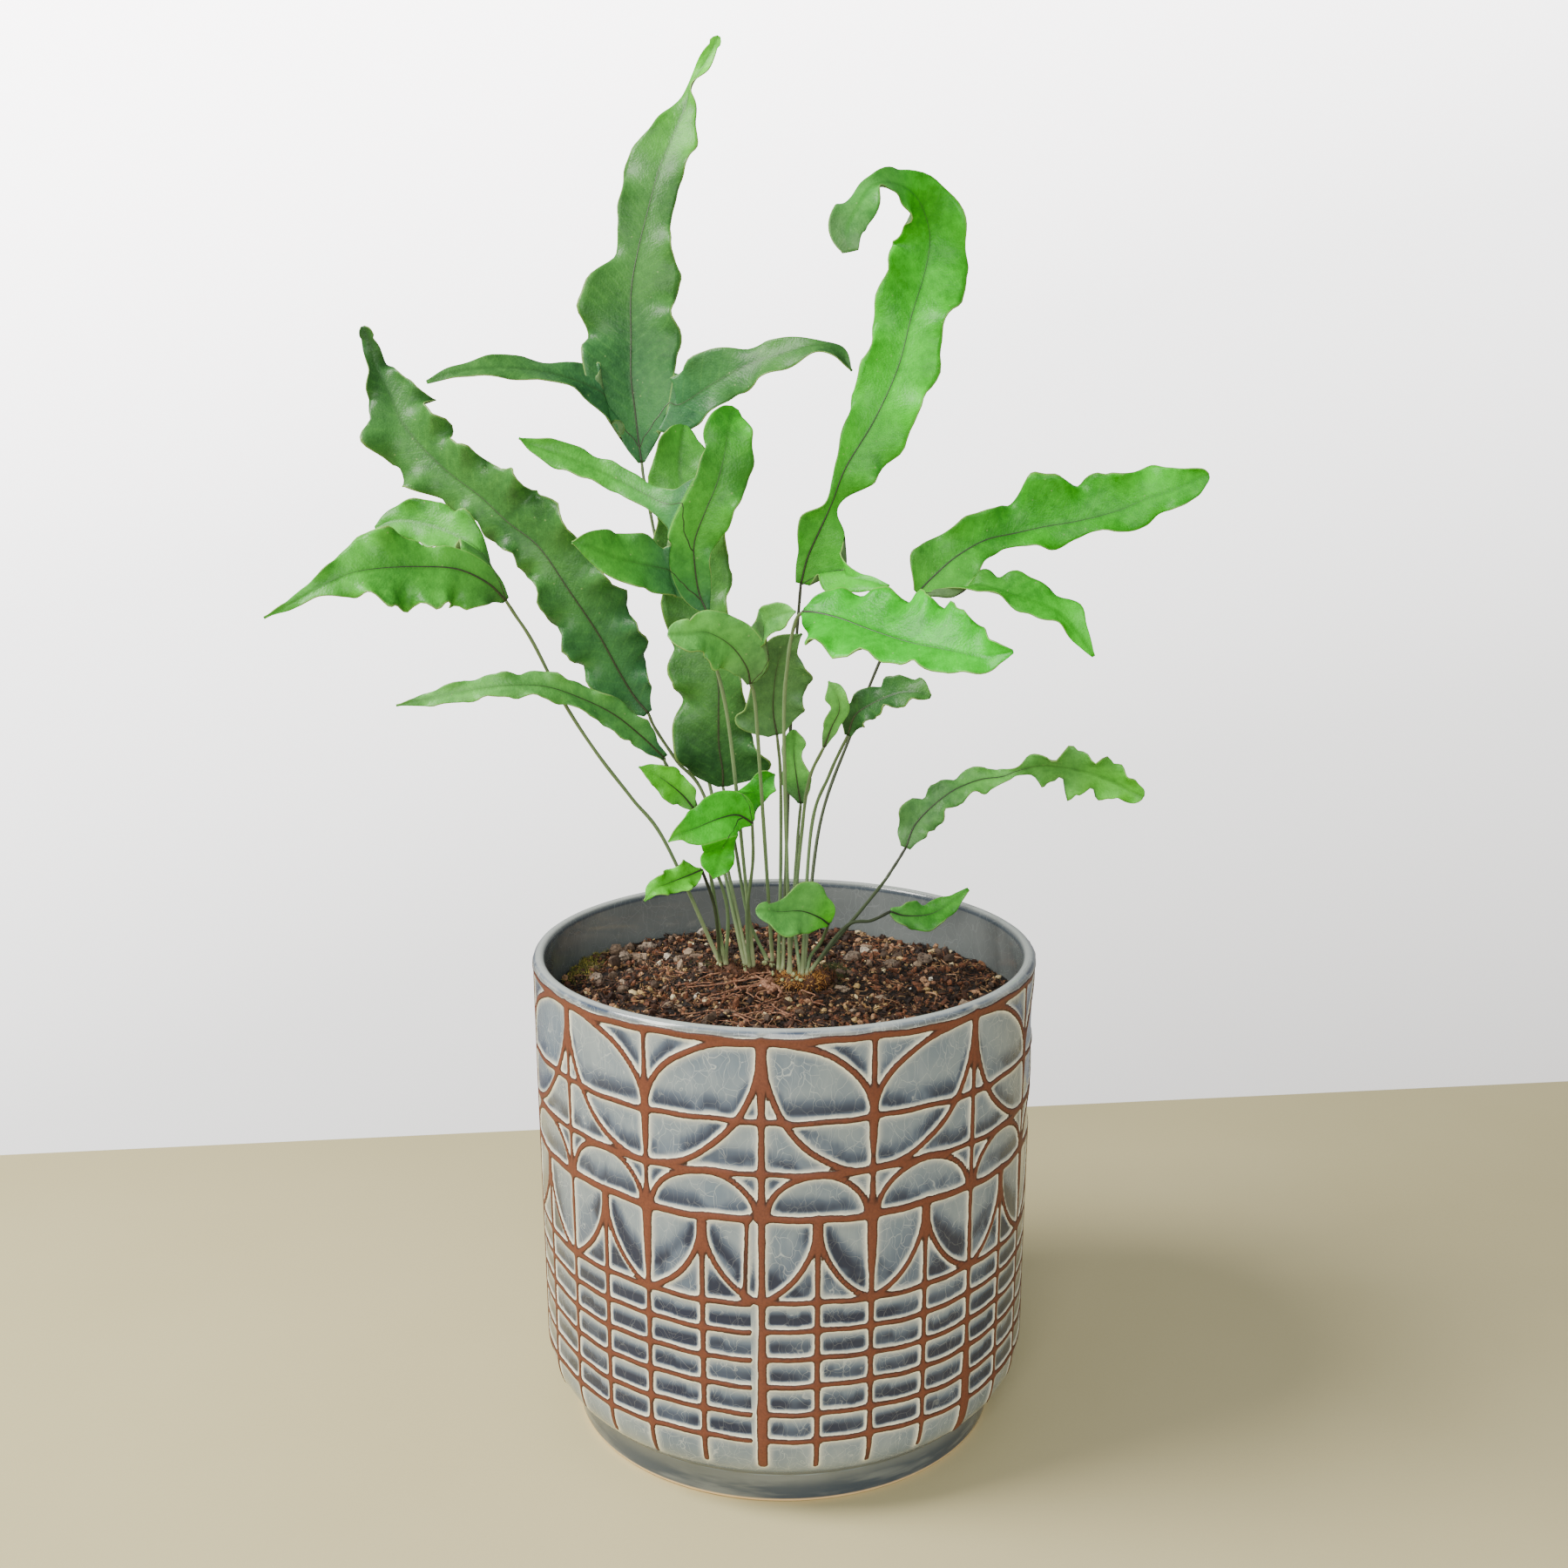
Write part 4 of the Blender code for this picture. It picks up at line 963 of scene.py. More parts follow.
            (-20, -52, 116, 7, 5.5, 20), (-25, -55, 116, 4.5, 3, 20), (-30, -57, 116, 0, 0, 20),
        ],
        "lobes": [
            ("right", 0, [
                (-5, -50, 118, 3.5, 5, -10), (0, -54, 121, 3, 3.5, -25), (3, -57, 122, 0, 0, -30),
            ]),
        ],
    },
    "frond_16": {  # heart underside
        "root": ("rhizome_right", 0.02),
        "stipe": [
            (-1, -2, 38), (-1, -10, 68),
        ],
        "blade": [
            (-2, -15, 82, 2.5, 2.5, 0), (-3, -16, 88, 11, 7.5, 0), (-3, -18, 94, 7, 9, 5),
            (-2, -20, 102, 6.5, 9.5, 5), (0, -22, 108, 4.5, 5, 0), (5, -24, 112, 0, 0, 0),
        ],
        "lobes": [],
    },
    "frond_17": {  # long broad behind
        "root": ("rhizome_left", 0.82),
        "stipe": [
            (-11, 6, 22), (-15, 1, 48),
        ],
        "blade": [
            (-18, -2, 64, 1.5, 1.5, 0), (-18, -3, 69, 10, 12.5, 0), (-19, -4, 77, 12.5, 11, -5),
            (-19, -5, 86, 12, 8, -5), (-19, -5, 95, 12.5, 7.5, -5), (-21, -4, 106, 12.5, 7, -5),
            (-24, -1, 118, 10.5, 8.5, 0), (-26, 2, 131, 10.5, 10.5, 0), (-28, 5, 143, 9.5, 11, 5),
            (-30, 8, 154, 8.5, 8.5, 5), (-30, 10, 162, 7, 7, 10), (-29, 12, 168, 1, 1, 10),
        ],
        "lobes": [],
    },
    "frond_18": {  # narrow dark
        "root": ("rhizome_right", 0.4),
        "stipe": [
            (3, 4, 23), (4, 4, 45),
        ],
        "blade": [
            (5, 2, 58, 1, 1, -20), (4, 1, 65, 5, 5, -25), (3, 0, 73, 3.5, 3, -20),
            (3, -1, 78, 3, 3.5, -15), (3, -2, 81, 0.5, 0.5, -10),
        ],
        "lobes": [],
    },
    "frond_19": {  # underside below front right leaf
        "root": ("rhizome_right", 0.5),
        "stipe": [
            (5, -1, 27), (8, -6, 52), (13, -14, 70),
        ],
        "blade": [
            (18, -21, 83, 1, 1, -10), (20, -23, 89, 3.5, 4, -15), (25, -26, 93, 4.5, 4.5, -40),
            (31, -29, 96, 4.5, 4.5, -45), (36, -32, 97, 4, 4, -40), (40, -34, 96, 0.5, 0.5, -30),
        ],
        "lobes": [],
    },
    "frond_20": {  # small drooping below bright front leaf
        "root": ("rhizome_right", 0.22),
        "stipe": [
            (2, -5, 31), (5, -15, 52), (7, -26, 71),
        ],
        "blade": [
            (11, -33, 82, 0.5, 0.5, 10), (13, -35, 88, 2.5, 2, 5), (15, -37, 93, 2.5, 2.5, 0),
            (14, -38, 98, 3, 2.5, -5), (12, -38, 101, 0, 0, -10),
        ],
        "lobes": [],
    },
}
LOOKS = {  # greens at the base, the middle and the tip, ruffle of the margin, its waves in mm, stipe colour
    "frond_01": ("sea", "deep", "lime", 0.15, 25, "green"),
    "frond_02": ("sea", "deep", "dusk", 0.28, 17, "green"),
    "frond_03": ("deep", "leaf", "leaf", 0.24, 16, "green"),
    "frond_04": ("sea", "pale", "pale", 0.26, 14, "green"),
    "frond_05": ("sea", "leaf", "bright", 0.16, 20, "green"),
    "frond_06": ("leaf", "bright", "dull", 0.17, 26, "dark"),
    "frond_07": ("vivid", "vivid", "vivid", 0.12, 14, "green"),
    "frond_08": ("leaf", "bright", "bright", 0.22, 23, "dark"),
    "frond_09": ("dull", "pale", "lime", 0.28, 12, "dark"),
    "frond_10": ("pale", "leaf", "leaf", 0.26, 12, "dark"),
    "frond_11": ("lime", "pale", "pale", 0.10, 15, "green"),
    "frond_12": ("lime", "lime", "lime", 0.32, 8, "dark"),
    "frond_13": ("pale", "lime", "lime", 0.22, 10, "green"),
    "frond_14": ("bright", "bright", "lime", 0.16, 12, "green"),
    "frond_15": ("dull", "pale", "pale", 0.16, 14, "green"),
    "frond_16": ("dull", "dull", "dull", 0.12, 14, "green"),
    "frond_17": ("dusk", "olive", "leaf", 0.18, 22, "green"),
    "frond_18": ("dull", "pale", "pale", 0.14, 12, "green"),
    "frond_19": ("dusk", "dusk", "olive", 0.22, 10, "green"),
    "frond_20": ("dull", "pale", "pale", 0.16, 10, "green"),
}
BLUNT = (  # fronds with a rounded tip
    "frond_01", "frond_02", "frond_05", "frond_06", "frond_08",
    "frond_09", "frond_11", "frond_15", "frond_17",
)
GREENS = {
    "vivid": (0.022, 0.560, 0.004), "bright": (0.055, 0.600, 0.014), "lime": (0.150, 0.800, 0.030),
    "leaf": (0.080, 0.440, 0.034), "pale": (0.150, 0.540, 0.085), "dull": (0.115, 0.290, 0.085),
    "deep": (0.060, 0.220, 0.038), "sea": (0.045, 0.185, 0.058), "dusk": (0.040, 0.150, 0.033),
    "olive": (0.075, 0.260, 0.042),
}
FINE = 8  # rows between two stations
ACROSS = 17  # points from margin to margin
SHEET = 0.36  # thickness in mm


def curve_through(values, steps):
    """Catmull-Rom rows through the values, with this many steps between each two."""
    ends = np.vstack([2 * values[0] - values[1], values, 2 * values[-1] - values[-2]])
    t = (np.arange(steps) / steps)[None, :, None]
    a, b, c, d = (ends[i : i + len(values) - 1][:, None, :] for i in range(4))
    rows = 0.5 * (2 * b + (c - a) * t + (2 * a - 5 * b + 4 * c - d) * t**2 + (3 * b - a - 3 * c + d) * t**3)
    return np.vstack([rows.reshape(-1, values.shape[1]), values[-1]])


def safe_unit(vectors):
    """As unit, and 0 where the length is 0."""
    return vectors / (np.linalg.norm(vectors, axis=-1, keepdims=True) + 1e-12)


def strip(stations, ruffle, wave, phase, blunt, base=None, lobes=()):
    """Rows of points across a blade or a lobe, and each point's share across and distance along.

    point = middle + side * s * half + up * lift, for s from -1 to 1, where half is the half-width on that
    side with a scalloped margin, and lift = half (fold |s| + ruffle |s|^2.6 sin(2 pi along / wave + phase)),
    in outline. The margin is calm where a lobe starts.
    """
    values = np.array(stations, float)
    values[:, 2] += SOIL_TOP
    if base is not None:
        start = base[ACROSS // 2]
        ends = np.linalg.norm(base[[0, -1]] - start, axis=1)
        values = np.vstack([[*start, *ends, values[0, 5]], values])
    rows = curve_through(values, FINE)
    middle = rows[:, :3]
    along = safe_unit(np.gradient(middle, axis=0))
    front = np.array((0.0, -1.0, 0.0))
    level = safe_unit(front - along * (along @ front)[:, None])
    tilt = np.radians(rows[:, 5])[:, None]
    up = level * np.cos(tilt) + np.cross(along, level) * np.sin(tilt)
    side = np.cross(along, up)
    share = np.linspace(-1, 1, ACROSS)
    run = np.concatenate([[0], np.cumsum(np.linalg.norm(np.diff(middle, axis=0), axis=1))])[:, None]
    half = np.clip(np.where(share < 0, rows[:, 3:4], rows[:, 4:5]), 0.3, None)
    left = (run[-1] - run) / np.clip(1.15 * half[-2 * FINE], 1.2, None)
    round_end = blunt * half[-2 * FINE] * np.sqrt(1 - (1 - np.clip(left, 0, 1)) ** 2)
    half = np.where(left < 1, np.maximum(half, round_end), half)
    scallop = np.sin(2 * math.pi * run / (0.83 * wave) + phase + 2 * np.sign(share))
    scallop = scallop + 0.4 * np.sin(2 * math.pi * run / (0.41 * wave) + 3 * phase - np.sign(share))
    scallop = scallop + 0.12 * np.sin(2 * math.pi * run / (0.23 * wave) + 5 * phase + np.sin(run / 5))
    calm = 1 if base is None else soft_step(run, 1, 12)
    number = np.arange(len(rows))[:, None] / FINE
    for edge, first, _ in lobes:
        joined_here = soft_step(number, first - 0.8, first) * soft_step(-number, -first - 3, -first - 2)
        calm = calm * (1 - joined_here * (share * (-1 if edge == "left" else 1) > 0))
    reach = half * share * (1 + (0.035 + 0.27 * ruffle) * calm * scallop * np.abs(share) ** 3)
    bow = np.abs(share) ** 2.6
    waves = np.sin(2 * math.pi * run / wave + phase + 1.9 * (share > 0))
    waves = waves + 0.4 * np.sin(2 * math.pi * run / (0.47 * wave) + 2 * phase)
    quilt = 0.005 * np.sin(2 * math.pi * (run - 0.8 * np.abs(reach)) / 3.4) * np.sin(math.pi * np.abs(share))
    fold = 0.20 + 0.16 * np.sin(run / 23 + phase + np.sign(share))
    lift = half * (fold * np.abs(share) + 1.35 * ruffle * calm * bow * waves + quilt)
    points = middle[:, None] + side[:, None] * reach[..., None] + up[:, None] * lift[..., None]
    if base is not None:
        shift = 1 - soft_step(np.arange(len(rows)) / FINE, 0, 1.6)
        points = points + shift[:, None, None] * (base - points[0])
    return points, share + 0 * run, run + 0 * share, half


def rows_joined(corners, count, start):
    """Faces between a row of corners that is already there and this many new rows, from point start on."""
    grid = np.vstack([corners, start + np.arange(count * ACROSS).reshape(count, ACROSS)])
    cells = (grid[:-1, :-1], grid[:-1, 1:], grid[1:, 1:], grid[1:, :-1])
    return np.stack(cells, -1).reshape(-1, 4), grid


def shell(points, faces):
    """A closed skin: both sides of the sheet, half its thickness along its normals, and its rim."""
    a, b, c, d = (points[faces[:, i]] for i in range(4))
    cross = np.cross(c - a, d - b)
    normal = np.zeros(points.shape)
    for i in range(4):
        np.add.at(normal, faces[:, i], cross)
    normal = safe_unit(normal)
    count = len(points)
    ways = np.concatenate([faces[:, [i, (i + 1) % 4]] for i in range(4)])
    keys = ways[:, 0] * count + ways[:, 1]
    rim = ways[~np.isin(keys, ways[:, 1] * count + ways[:, 0])]
    edge = np.stack([rim[:, 1], rim[:, 0], rim[:, 0] + count, rim[:, 1] + count], -1)
    both = np.vstack([points + normal * SHEET / 2, points - normal * SHEET / 2])
    return both, np.vstack([faces, faces[:, ::-1] + count, edge]), normal


def tube_along(route, radii, sides, reference):
    """A closed tube: ring i is route[i] + radius (n cos a + b sin a), with n and b square to the tangent."""
    along = safe_unit(np.gradient(route, axis=0))
    reference = np.broadcast_to(reference, route.shape)
    n = safe_unit(reference - along * (along * reference).sum(1, keepdims=True))
    b = np.cross(along, n)
    a = np.linspace(0, 2 * math.pi, sides, endpoint=False)
    ring = n[:, None] * np.cos(a)[:, None] + b[:, None] * np.sin(a)[:, None]
    points = (route[:, None] + ring * np.reshape(radii, (-1, 1, 1))).reshape(-1, 3)
    return np.vstack([route[:1], points, route[-1:]]), turned_faces(len(route), sides)


def add_tube(points, quads, triangles, tube):
    """Adds a tube to lists of points, of faces with four corners and of faces with three."""
    start = sum(len(p) for p in points)
    made, (around, low, high) = tube
    points.append(made)
    quads.append(around + start)
    triangles.extend([low + start, high + start])


def leaf_material(name, greens):
    """Leaf tissue: greens from base to tip, darkened in clouds that are partly its own mottle and partly
    painted shade of folds, faint side veins, a pale margin and a duller underside.
    """
    stuff, tree, shader, place = material(name)
    share, run, under = spot(tree, "share"), spot(tree, "run"), spot(tree, "under")
    half, climb = spot(tree, "half"), spot(tree, "climb")
    clouds = noise(tree, place, 42, 4, 0.55)
    mottle = noise(tree, place, 420, 3, 0.6)
    out = times(tree, calc(tree, "ABSOLUTE", share), half)
    step = calc(tree, "MULTIPLY_ADD", out, -0.8, run)
    vein = calc(tree, "SINE", times(tree, step, 2 * math.pi / 3.4))
    vein = fade(tree, swayed(tree, mottle, 1.6, vein), 0.7, 1.1)
    # Partly painted shade: the large clouds darken the greens of both faces to stand in for the shading of
    # folds, and the fine mottle is the tissue's own.
    shade_clouds_and_mottle = swayed(tree, mottle, 0.5, clouds)
    drift = swayed(tree, clouds, 0.35, climb)
    upper = ramp(tree, drift, (0.05, greens[0]), (0.4, greens[1]), (0.72, greens[1]), (1.0, greens[2]))
    fold_shade_and_mottle = ramp(tree, shade_clouds_and_mottle, (0.3, (0.42, 0.46, 0.52)), (0.68, (1.0, 1.0, 1.0)))
    upper = blend(tree, 1.0, upper, fold_shade_and_mottle, "MULTIPLY")
    upper = blend(tree, times(tree, vein, 0.05), upper, (0.20, 0.55, 0.08))
    upper = blend(tree, fade(tree, out, 0.2, 1.1, 0.35, 0.0), upper, tuple(0.3 * c for c in greens[1]))
    lower = ramp(tree, shade_clouds_and_mottle, (0.3, (0.060, 0.140, 0.045)), (0.7, (0.120, 0.240, 0.085)))
    lower = blend(tree, times(tree, vein, 0.3), lower, (0.05, 0.10, 0.03))
    colour = blend(tree, under, upper, lower)
    flecks = dots(tree, place, 260)
    colour = blend(tree, fade(tree, flecks, 0.04, 0.09, 0.35, 0), colour, (0.35, 0.5, 0.18))
    rim = fade(tree, calc(tree, "ABSOLUTE", share), 0.955, 1.0)
    colour = blend(tree, times(tree, rim, 0.5), colour, (0.32, 0.50, 0.12))
    cells = dots(tree, place, 1500)
    height = calc(tree, "MULTIPLY_ADD", vein, -0.12, calc(tree, "MULTIPLY_ADD", cells, 0.4, mottle))
    feed(tree, shader, Base_Color=colour, Roughness=fade(tree, under, 0, 1, 0.42, 0.65))
    feed(tree, shader, Specular_IOR_Level=0.22)
    bumped(tree, shader, height, 0.5, 0.0003)
    return stuff


def stalk_material(name, low, high):
    """A stipe: a pale base, then one colour to another upwards, with fine lengthwise streaks."""
    stuff, tree, shader, place = material(name)
    climb = spot(tree, "climb")
    streak = noise(tree, place, 900, 3, 0.6, stretch=(1, 1, 0.5))
    colour = ramp(
        tree, climb, (0.0, (0.55, 0.60, 0.34)), (0.05, (0.30, 0.38, 0.17)),
        (0.12, tuple(1.35 * c for c in low)), (0.5, low), (1.0, high),
    )
    colour = blend(tree, fade(tree, streak, 0.35, 0.7, 0.25, 0.0), colour, tuple(0.7 * c for c in low))
    feed(tree, shader, Base_Color=colour, Roughness=fade(tree, streak, 0.3, 0.7, 0.4, 0.6))
    bumped(tree, shader, streak, 0.5, 0.0002)
    return stuff


STALKS = {
    "green": stalk_material("green stipe", (0.15, 0.235, 0.10), (0.10, 0.15, 0.055)),
    "dark": stalk_material("dark stipe", (0.060, 0.085, 0.035), (0.026, 0.030, 0.015)),
}
rib_stuff, tree, shader, place = material("midrib")
grain = noise(tree, place, 1200, 3)
dark = ramp(tree, grain, (0.3, (0.018, 0.028, 0.010)), (0.7, (0.040, 0.055, 0.018)))
feed(tree, shader, Base_Color=dark, Roughness=0.5)
bumped(tree, shader, grain, 0.4, 0.0001)


def columns(*arrays):
    """Whole arrays as the columns of one."""
    return np.stack([array.ravel() for array in arrays], -1)


def frond_blade(name, frond):
    """The blade with its lobes and midribs as one piece, from the base to the tip."""
    *greens, ruffle, wave, _ = LOOKS[name]
    blunt = 0.75 * (name in BLUNT)
    phase = 1.7 * int(name[-2:])
    rows, share, run, half = strip(frond["blade"], ruffle, wave, phase, blunt, lobes=frond["lobes"])
    count = len(rows)
    corners = np.arange(ACROSS)
    faces, main = rows_joined(corners, count - 1, ACROSS)
    points, faces = [rows.reshape(-1, 3)], [faces]
    climb = run / run.max()
    extra = [columns(share, run, half, climb)]
    middle = ACROSS // 2
    ribs = [main[: count - 2, middle]]
    for number, (edge, first, stations) in enumerate(frond["lobes"], 1):
        margin = 0 if edge == "left" else -1
        corners = main[first * FINE : (first + 2) * FINE + 1, margin]
        if edge == "right":
            corners = corners[::-1]
        base = points[0][corners]
        rows, share, run, half = strip(stations, ruffle, wave, phase + number, 0, base)
        start = sum(len(p) for p in points)
        more, grid = rows_joined(corners, len(rows) - 1, start)
        faces.append(more)
        points.append(rows[1:].reshape(-1, 3))
        climb = 0.75 * run / run.max()
        extra.append(columns(share[1:], run[1:], half[1:], climb[1:]))
        step = np.arange(middle + 1)
        line = np.round((first + step / middle) * FINE - 3 * (1 - step / middle)).astype(int)
        column = middle - step if edge == "left" else middle + step
        ribs.append(np.concatenate([main[np.clip(line, 0, count - 1), column], grid[1:-2, middle]]))
    points, faces = np.vstack(points), np.vstack(faces)
    extra = np.vstack(extra)
    skin, skin_faces, normal = shell(points, faces)
    everything, quads, triangles = [skin], [skin_faces], []
    for number, rib in enumerate(ribs):
        size = np.linspace(0.42 if number == 0 else 0.28, 0.12, len(rib))
        add_tube(everything, quads, triangles, tube_along(points[rib], size, 6, normal[rib]))
    rib_points = sum(len(p) for p in everything[1:])
    values = np.vstack([extra, extra, np.zeros((rib_points, 4))])
    under = np.repeat([0.0, 1.0, 0.0], [len(points), len(points), rib_points])
    rib_faces = sum(len(group) for group in quads[1:] + triangles)
    numbers = np.repeat([0, 1], [len(skin_faces), rib_faces])
    values = dict(zip(("share", "run", "half", "climb"), values.T), under=under)
    groups = [np.vstack(quads), np.vstack(triangles)]
    made = mesh_of(name + "_leaf", np.vstack(everything) * MM, groups, values, numbers)
    made.materials.append(leaf_material(name + " tissue", [GREENS[green] for green in greens]))
    made.materials.append(rib_stuff)
    keep(link(name + "_leaf", made), "blade", name + "_blade")


RHIZOME_LIFT = 3.8  # height of its middle line above the mound, in mm
SPREAD = 0.46  # how much of its distance from its clump a stipe keeps
CLUMPS = {"rhizome_left": (0.16, 0.5, 0.9), "rhizome_right": (0.04, 0.26, 0.44)}  # where stipes crowd
RHIZOMES = {
    "rhizome_left": [(-21, 12), (-15, 7), (-8, 6), (-3, 11)],
    "rhizome_right": [(-2, 2), (3, -3), (9, -3), (14, 3)],
}


def on_mound(corners, lift):
    """Points on the CAD's soil surface, lifted by a height in mm."""
    flat = np.array(corners, float)
    return np.column_stack([flat, mound(*flat.T) + lift])


def frond_stipe(name, frond):
    """The stipe, from the side of the rhizome to the base of its blade."""
    creeper, part = frond["root"]
    clump = min(CLUMPS[creeper], key=lambda place: abs(place - part))
    part = clump + SPREAD * (part - clump)
    line = curve_through(on_mound(RHIZOMES[creeper], RHIZOME_LIFT), 4)
    step = part * (len(line) - 1)
    low = min(int(step), len(line) - 2)
    middle = line[low] + (line[low + 1] - line[low]) * (step - low)
    along = safe_unit(line[low + 1] - line[low])
    route = np.array(frond["stipe"], float) + (0, 0, SOIL_TOP)
    away = safe_unit(route[0] - middle - along * ((route[0] - middle) @ along))
    base = np.array(frond["blade"][0][:3], float) + (0, 0, SOIL_TOP)
    corners = np.vstack([middle + away * 3.6, route[1:] if len(route) > 2 else route, base])
    route = curve_through(corners, 10)
    route = np.vstack([middle + away * 2.6, route])
    climb = np.linspace(0, 1, len(route))
    radii = 0.46 + 0.12 * (1 - climb) + 0.15 * np.exp(-climb * 30) + 0.03 * np.sin(climb * 37)
    points, faces = tube_along(route, radii, 10, np.array((0.0, -1.0, 0.05)))
    climb = np.concatenate([[0], np.repeat(climb, 10), [1]])
    made = mesh_of(name + "_stalk", points * MM, faces, {"climb": climb})
    made.materials.append(STALKS[LOOKS[name][5]])
    keep(link(name + "_stalk", made), "stipe", name + "_stipe")


FRONDS["frond_14"]["lobes"] += [  # two small lobes that the simpler CAD blade leaves out
    ("left", 1, [(-18, -29, 51, 5, 5, 10), (-19, -28, 46.5, 4, 4, 10), (-20, -28, 43, 0, 0, 10)]),
    ("right", 0, [(-8, -20, 66.5, 3.6, 3.6, 0), (-5, -18.5, 69.5, 3.5, 3.5, 0), (-2.5, -18, 71, 0, 0, 0)]),
]
for name, frond in FRONDS.items():
    frond_blade(name, frond)
    frond_stipe(name, frond)


# ---- Rhizomes and roots ----
# Two knobbly creeping rhizomes, partly buried, with golden and brown chaff and pale buds where the stipes
# rise, and tan and reddish roots that wander over the soil.

UP = np.array((0.0, 0.0, 1.0))
stuff, tree, shader, place = material("chaff")
tone = spot(tree, "tone")
grain = noise(tree, place, 1500, 4, 0.6)
colour = ramp(
    tree, swayed(tree, grain, 0.5, tone),
    (0.0, (0.030, 0.013, 0.006)), (0.3, (0.12, 0.045, 0.016)),
    (0.6, (0.42, 0.17, 0.035)), (1.0, (0.75, 0.40, 0.10)),
)
is_bud = fade(tree, tone, 1.2, 1.4)
bud = ramp(tree, grain, (0.35, (0.18, 0.24, 0.08)), (0.65, (0.50, 0.55, 0.28)))
colour = blend(tree, is_bud, colour, bud)
feed(tree, shader, Base_Color=colour, Roughness=0.8)
bumped(tree, shader, grain, 0.7, 0.0004)
for name, corners in RHIZOMES.items():
    route = curve_through(on_mound(corners, RHIZOME_LIFT), 12)
    ends = np.linspace(-1, 1, len(route))
    knobs = 1 + 0.22 * np.sin(ends * 11) + 0.10 * np.sin(ends * 29 + 1)
    radii = 2.3 * np.sqrt(1 - 0.75 * np.abs(ends) ** 6) * knobs
    points, faces = tube_along(route, radii, 24, UP)
    count = 1500
    pick = chance.integers(0, len(route), count)
    out = safe_unit(chance.normal(size=(count, 3)) + (0, 0, 0.35))
    places = route[pick] + out * radii[pick, None] * 0.92 + chance.normal(size=(count, 3)) * 0.5
    ways = safe_unit(out + 0.9 * chance.normal(size=(count, 3)))
    fur, fur_faces = spikes(places, ways, chance.uniform(0.8, 3.0, count), 0.17)
    golden = soft_step(route[pick, 0], -3, 3) * soft_step(-route[pick, 0], -13, -8)
    brown = 0.25 * chance.uniform(0, 1.6, count)
    fur_tone = np.clip(brown + 0.8 * golden * chance.uniform(0.3, 1.3, count), 0, 1)
    buds = []
    for clump in CLUMPS[name]:
        middle = route[int(clump * (len(route) - 1))]
        places = middle + chance.normal(size=(4, 3)) * (1.2, 0.9, 0.4) + (0, -1.5, 2.1)
        scales = chance.uniform(0.4, 0.95, (4, 1)) * (1, 1, 1.5)
        buds.append(scattered(NUGGET, NUGGET_FACES, places, scales, random_turns(4), 0.2))
    starts = len(points) + len(fur) + np.arange(3) * len(buds[0][0])
    bud_faces = [made[1] + start for made, start in zip(buds, starts)]
    groups = [faces[0], np.vstack([faces[1], faces[2], fur_faces + len(points), *bud_faces])]
    tone = [np.full(len(points), 0.18), np.repeat(fur_tone, 4), np.full(3 * len(buds[0][0]), 1.6)]
    everything = np.vstack([points, fur, *(made[0] for made in buds)])
    made = mesh_of(name + "_fur", everything * MM, groups, {"tone": np.concatenate(tone)})
    made.materials.append(stuff)
    keep(link(name + "_fur", made), "rhizome", name)


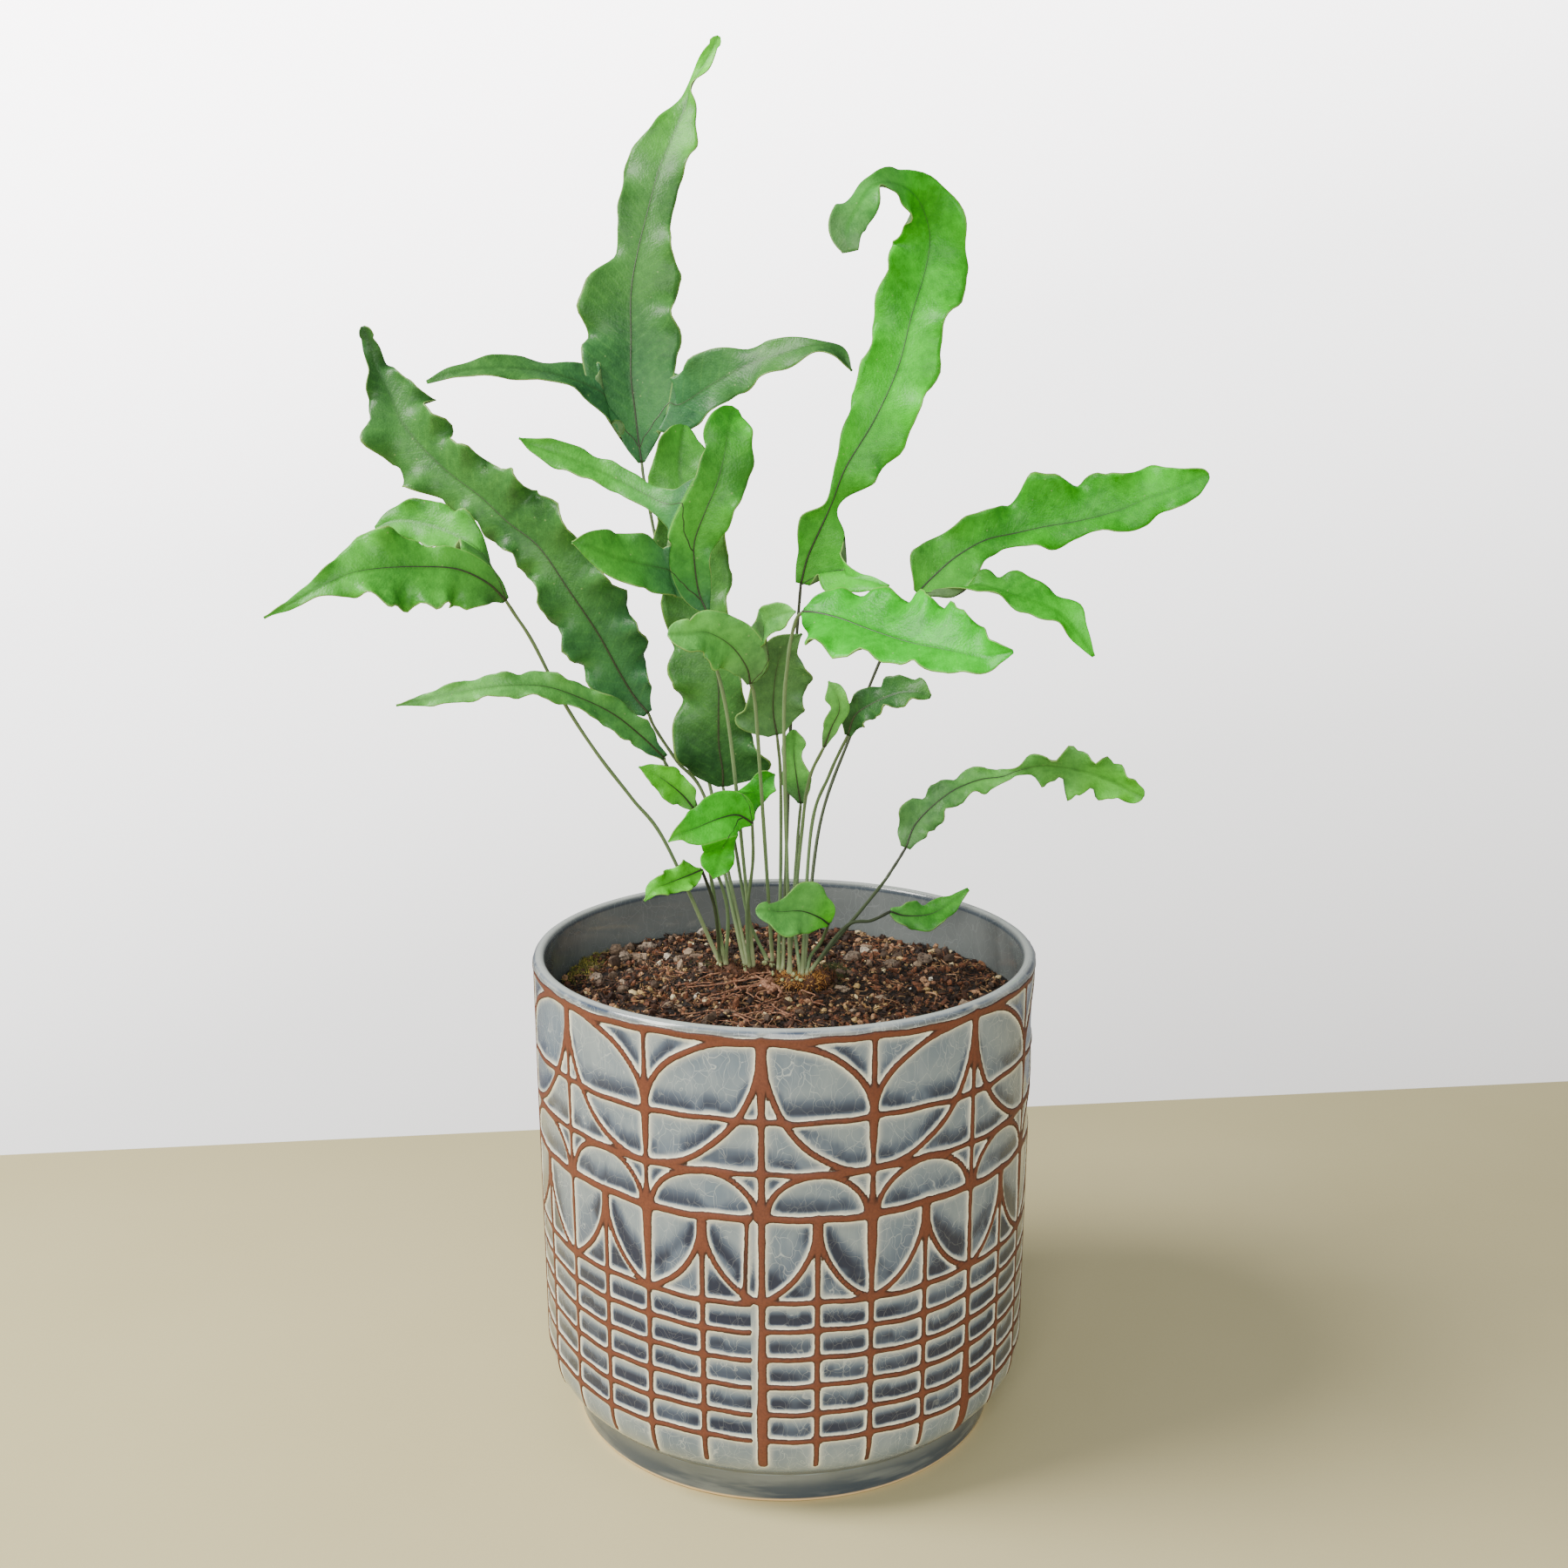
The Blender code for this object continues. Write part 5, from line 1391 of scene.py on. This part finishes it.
SURFACE_ROOTS = {
    "surface_root_1": [(-8, -3), (-14, -9), (-16, -19), (-11, -28), (-13, -37)],
    "surface_root_2": [(0, -9), (-3, -17), (3, -25), (1, -34)],
    "surface_root_3": [(-25, 16), (-31, 12), (-38, 14), (-44, 9)],
}
STRANDS = {  # more roots at the crown: route, height above the mound and radius in mm
    "surface_root_1": (
        ([(-6, 1), (-12, -3), (-20, -7), (-29, -9)], 4.6, 0.42),
        ([(-3, -3), (-9, -7), (-17, -13), (-24, -19)], 4.4, 0.40),
        ([(-12, 2), (-15, -5), (-13, -12), (-18, -18)], 4.2, 0.30),
        ([(-4, 1), (-8, -7), (-11, -12), (-9, -18)], 4.4, 0.34),
        ([(-17, 4), (-22, -2), (-27, -3), (-31, -8)], 3.6, 0.26),
        ([(-8, -6), (-15, -9), (-17, -16), (-25, -22)], 4.0, 0.28),
        ([(-14, 6), (-10, 2), (-6, -4), (-8, -9)], 4.8, 0.36),
    ),
    "surface_root_2": (
        ([(-6, 7), (-4, 1), (-6, -5), (-4, -12)], 5.2, 0.52),
        ([(-4, -4), (-6, -8), (-3, -12), (-5, -15)], 4.8, 1.15),
        ([(-5, -4), (-2, -9), (-1, -14), (-2, -18)], 4.4, 0.62),
        ([(5, -8), (9, -12), (8, -17), (12, -21)], 3.0, 0.26),
        ([(-7, -2), (-4, -10), (-8, -14), (-7, -20)], 4.2, 0.34),
        ([(3, 6), (-3, 2), (-9, 1), (-12, -3)], 5.2, 0.34),
    ),
    "surface_root_3": (([(-18, 9), (-24, 5), (-27, -1), (-33, -3)], 3.2, 0.34),),
}
stuff, tree, shader, place = material("root")
grain = noise(tree, place, 1300, 4, 0.6)
colour = ramp(
    tree, grain, (0.3, (0.10, 0.040, 0.022)), (0.5, (0.27, 0.120, 0.066)), (0.72, (0.50, 0.29, 0.17)),
)
feed(tree, shader, Base_Color=colour, Roughness=0.75)
bumped(tree, shader, grain, 0.6, 0.0003)
for name, corners in SURFACE_ROOTS.items():
    paths = [(on_mound(corners, 0.9), 0.5)]
    for extra, lift, thick in STRANDS[name]:
        paths.append((on_mound(extra, lift), thick))
    for _ in range(9):
        start = np.array(corners[chance.integers(0, len(corners) - 1)], float)
        way = chance.normal(size=2) * 3.2 + safe_unit(start) * 1.5
        steps = start + np.cumsum(np.vstack([[0, 0], way + chance.normal(size=(4, 2)) * 2.0]), axis=0)
        steps *= np.minimum(1, 64 / (np.linalg.norm(steps, axis=1, keepdims=True) + 1e-9))
        thin = on_mound(steps, 0.6)
        thin[:, 2] += chance.uniform(-0.3, 1.2, len(thin))
        paths.append((thin, chance.uniform(0.16, 0.32)))
    points, quads, triangles = [], [], []
    for corners_up, thick in paths:
        route = curve_through(corners_up, 8)
        route[:, :2] += 0.25 * np.sin(np.arange(len(route))[:, None] * (0.9, 1.3))
        size = thick * np.linspace(1, 0.45, len(route)) * (1 + 0.12 * np.sin(np.arange(len(route)) * 1.7))
        add_tube(points, quads, triangles, tube_along(route, size, 7, UP))
    made = mesh_of(name + "_strand", np.vstack(points) * MM, [np.vstack(quads), np.vstack(triangles)])
    made.materials.append(stuff)
    keep(link(name + "_strand", made), "surface_root", name)
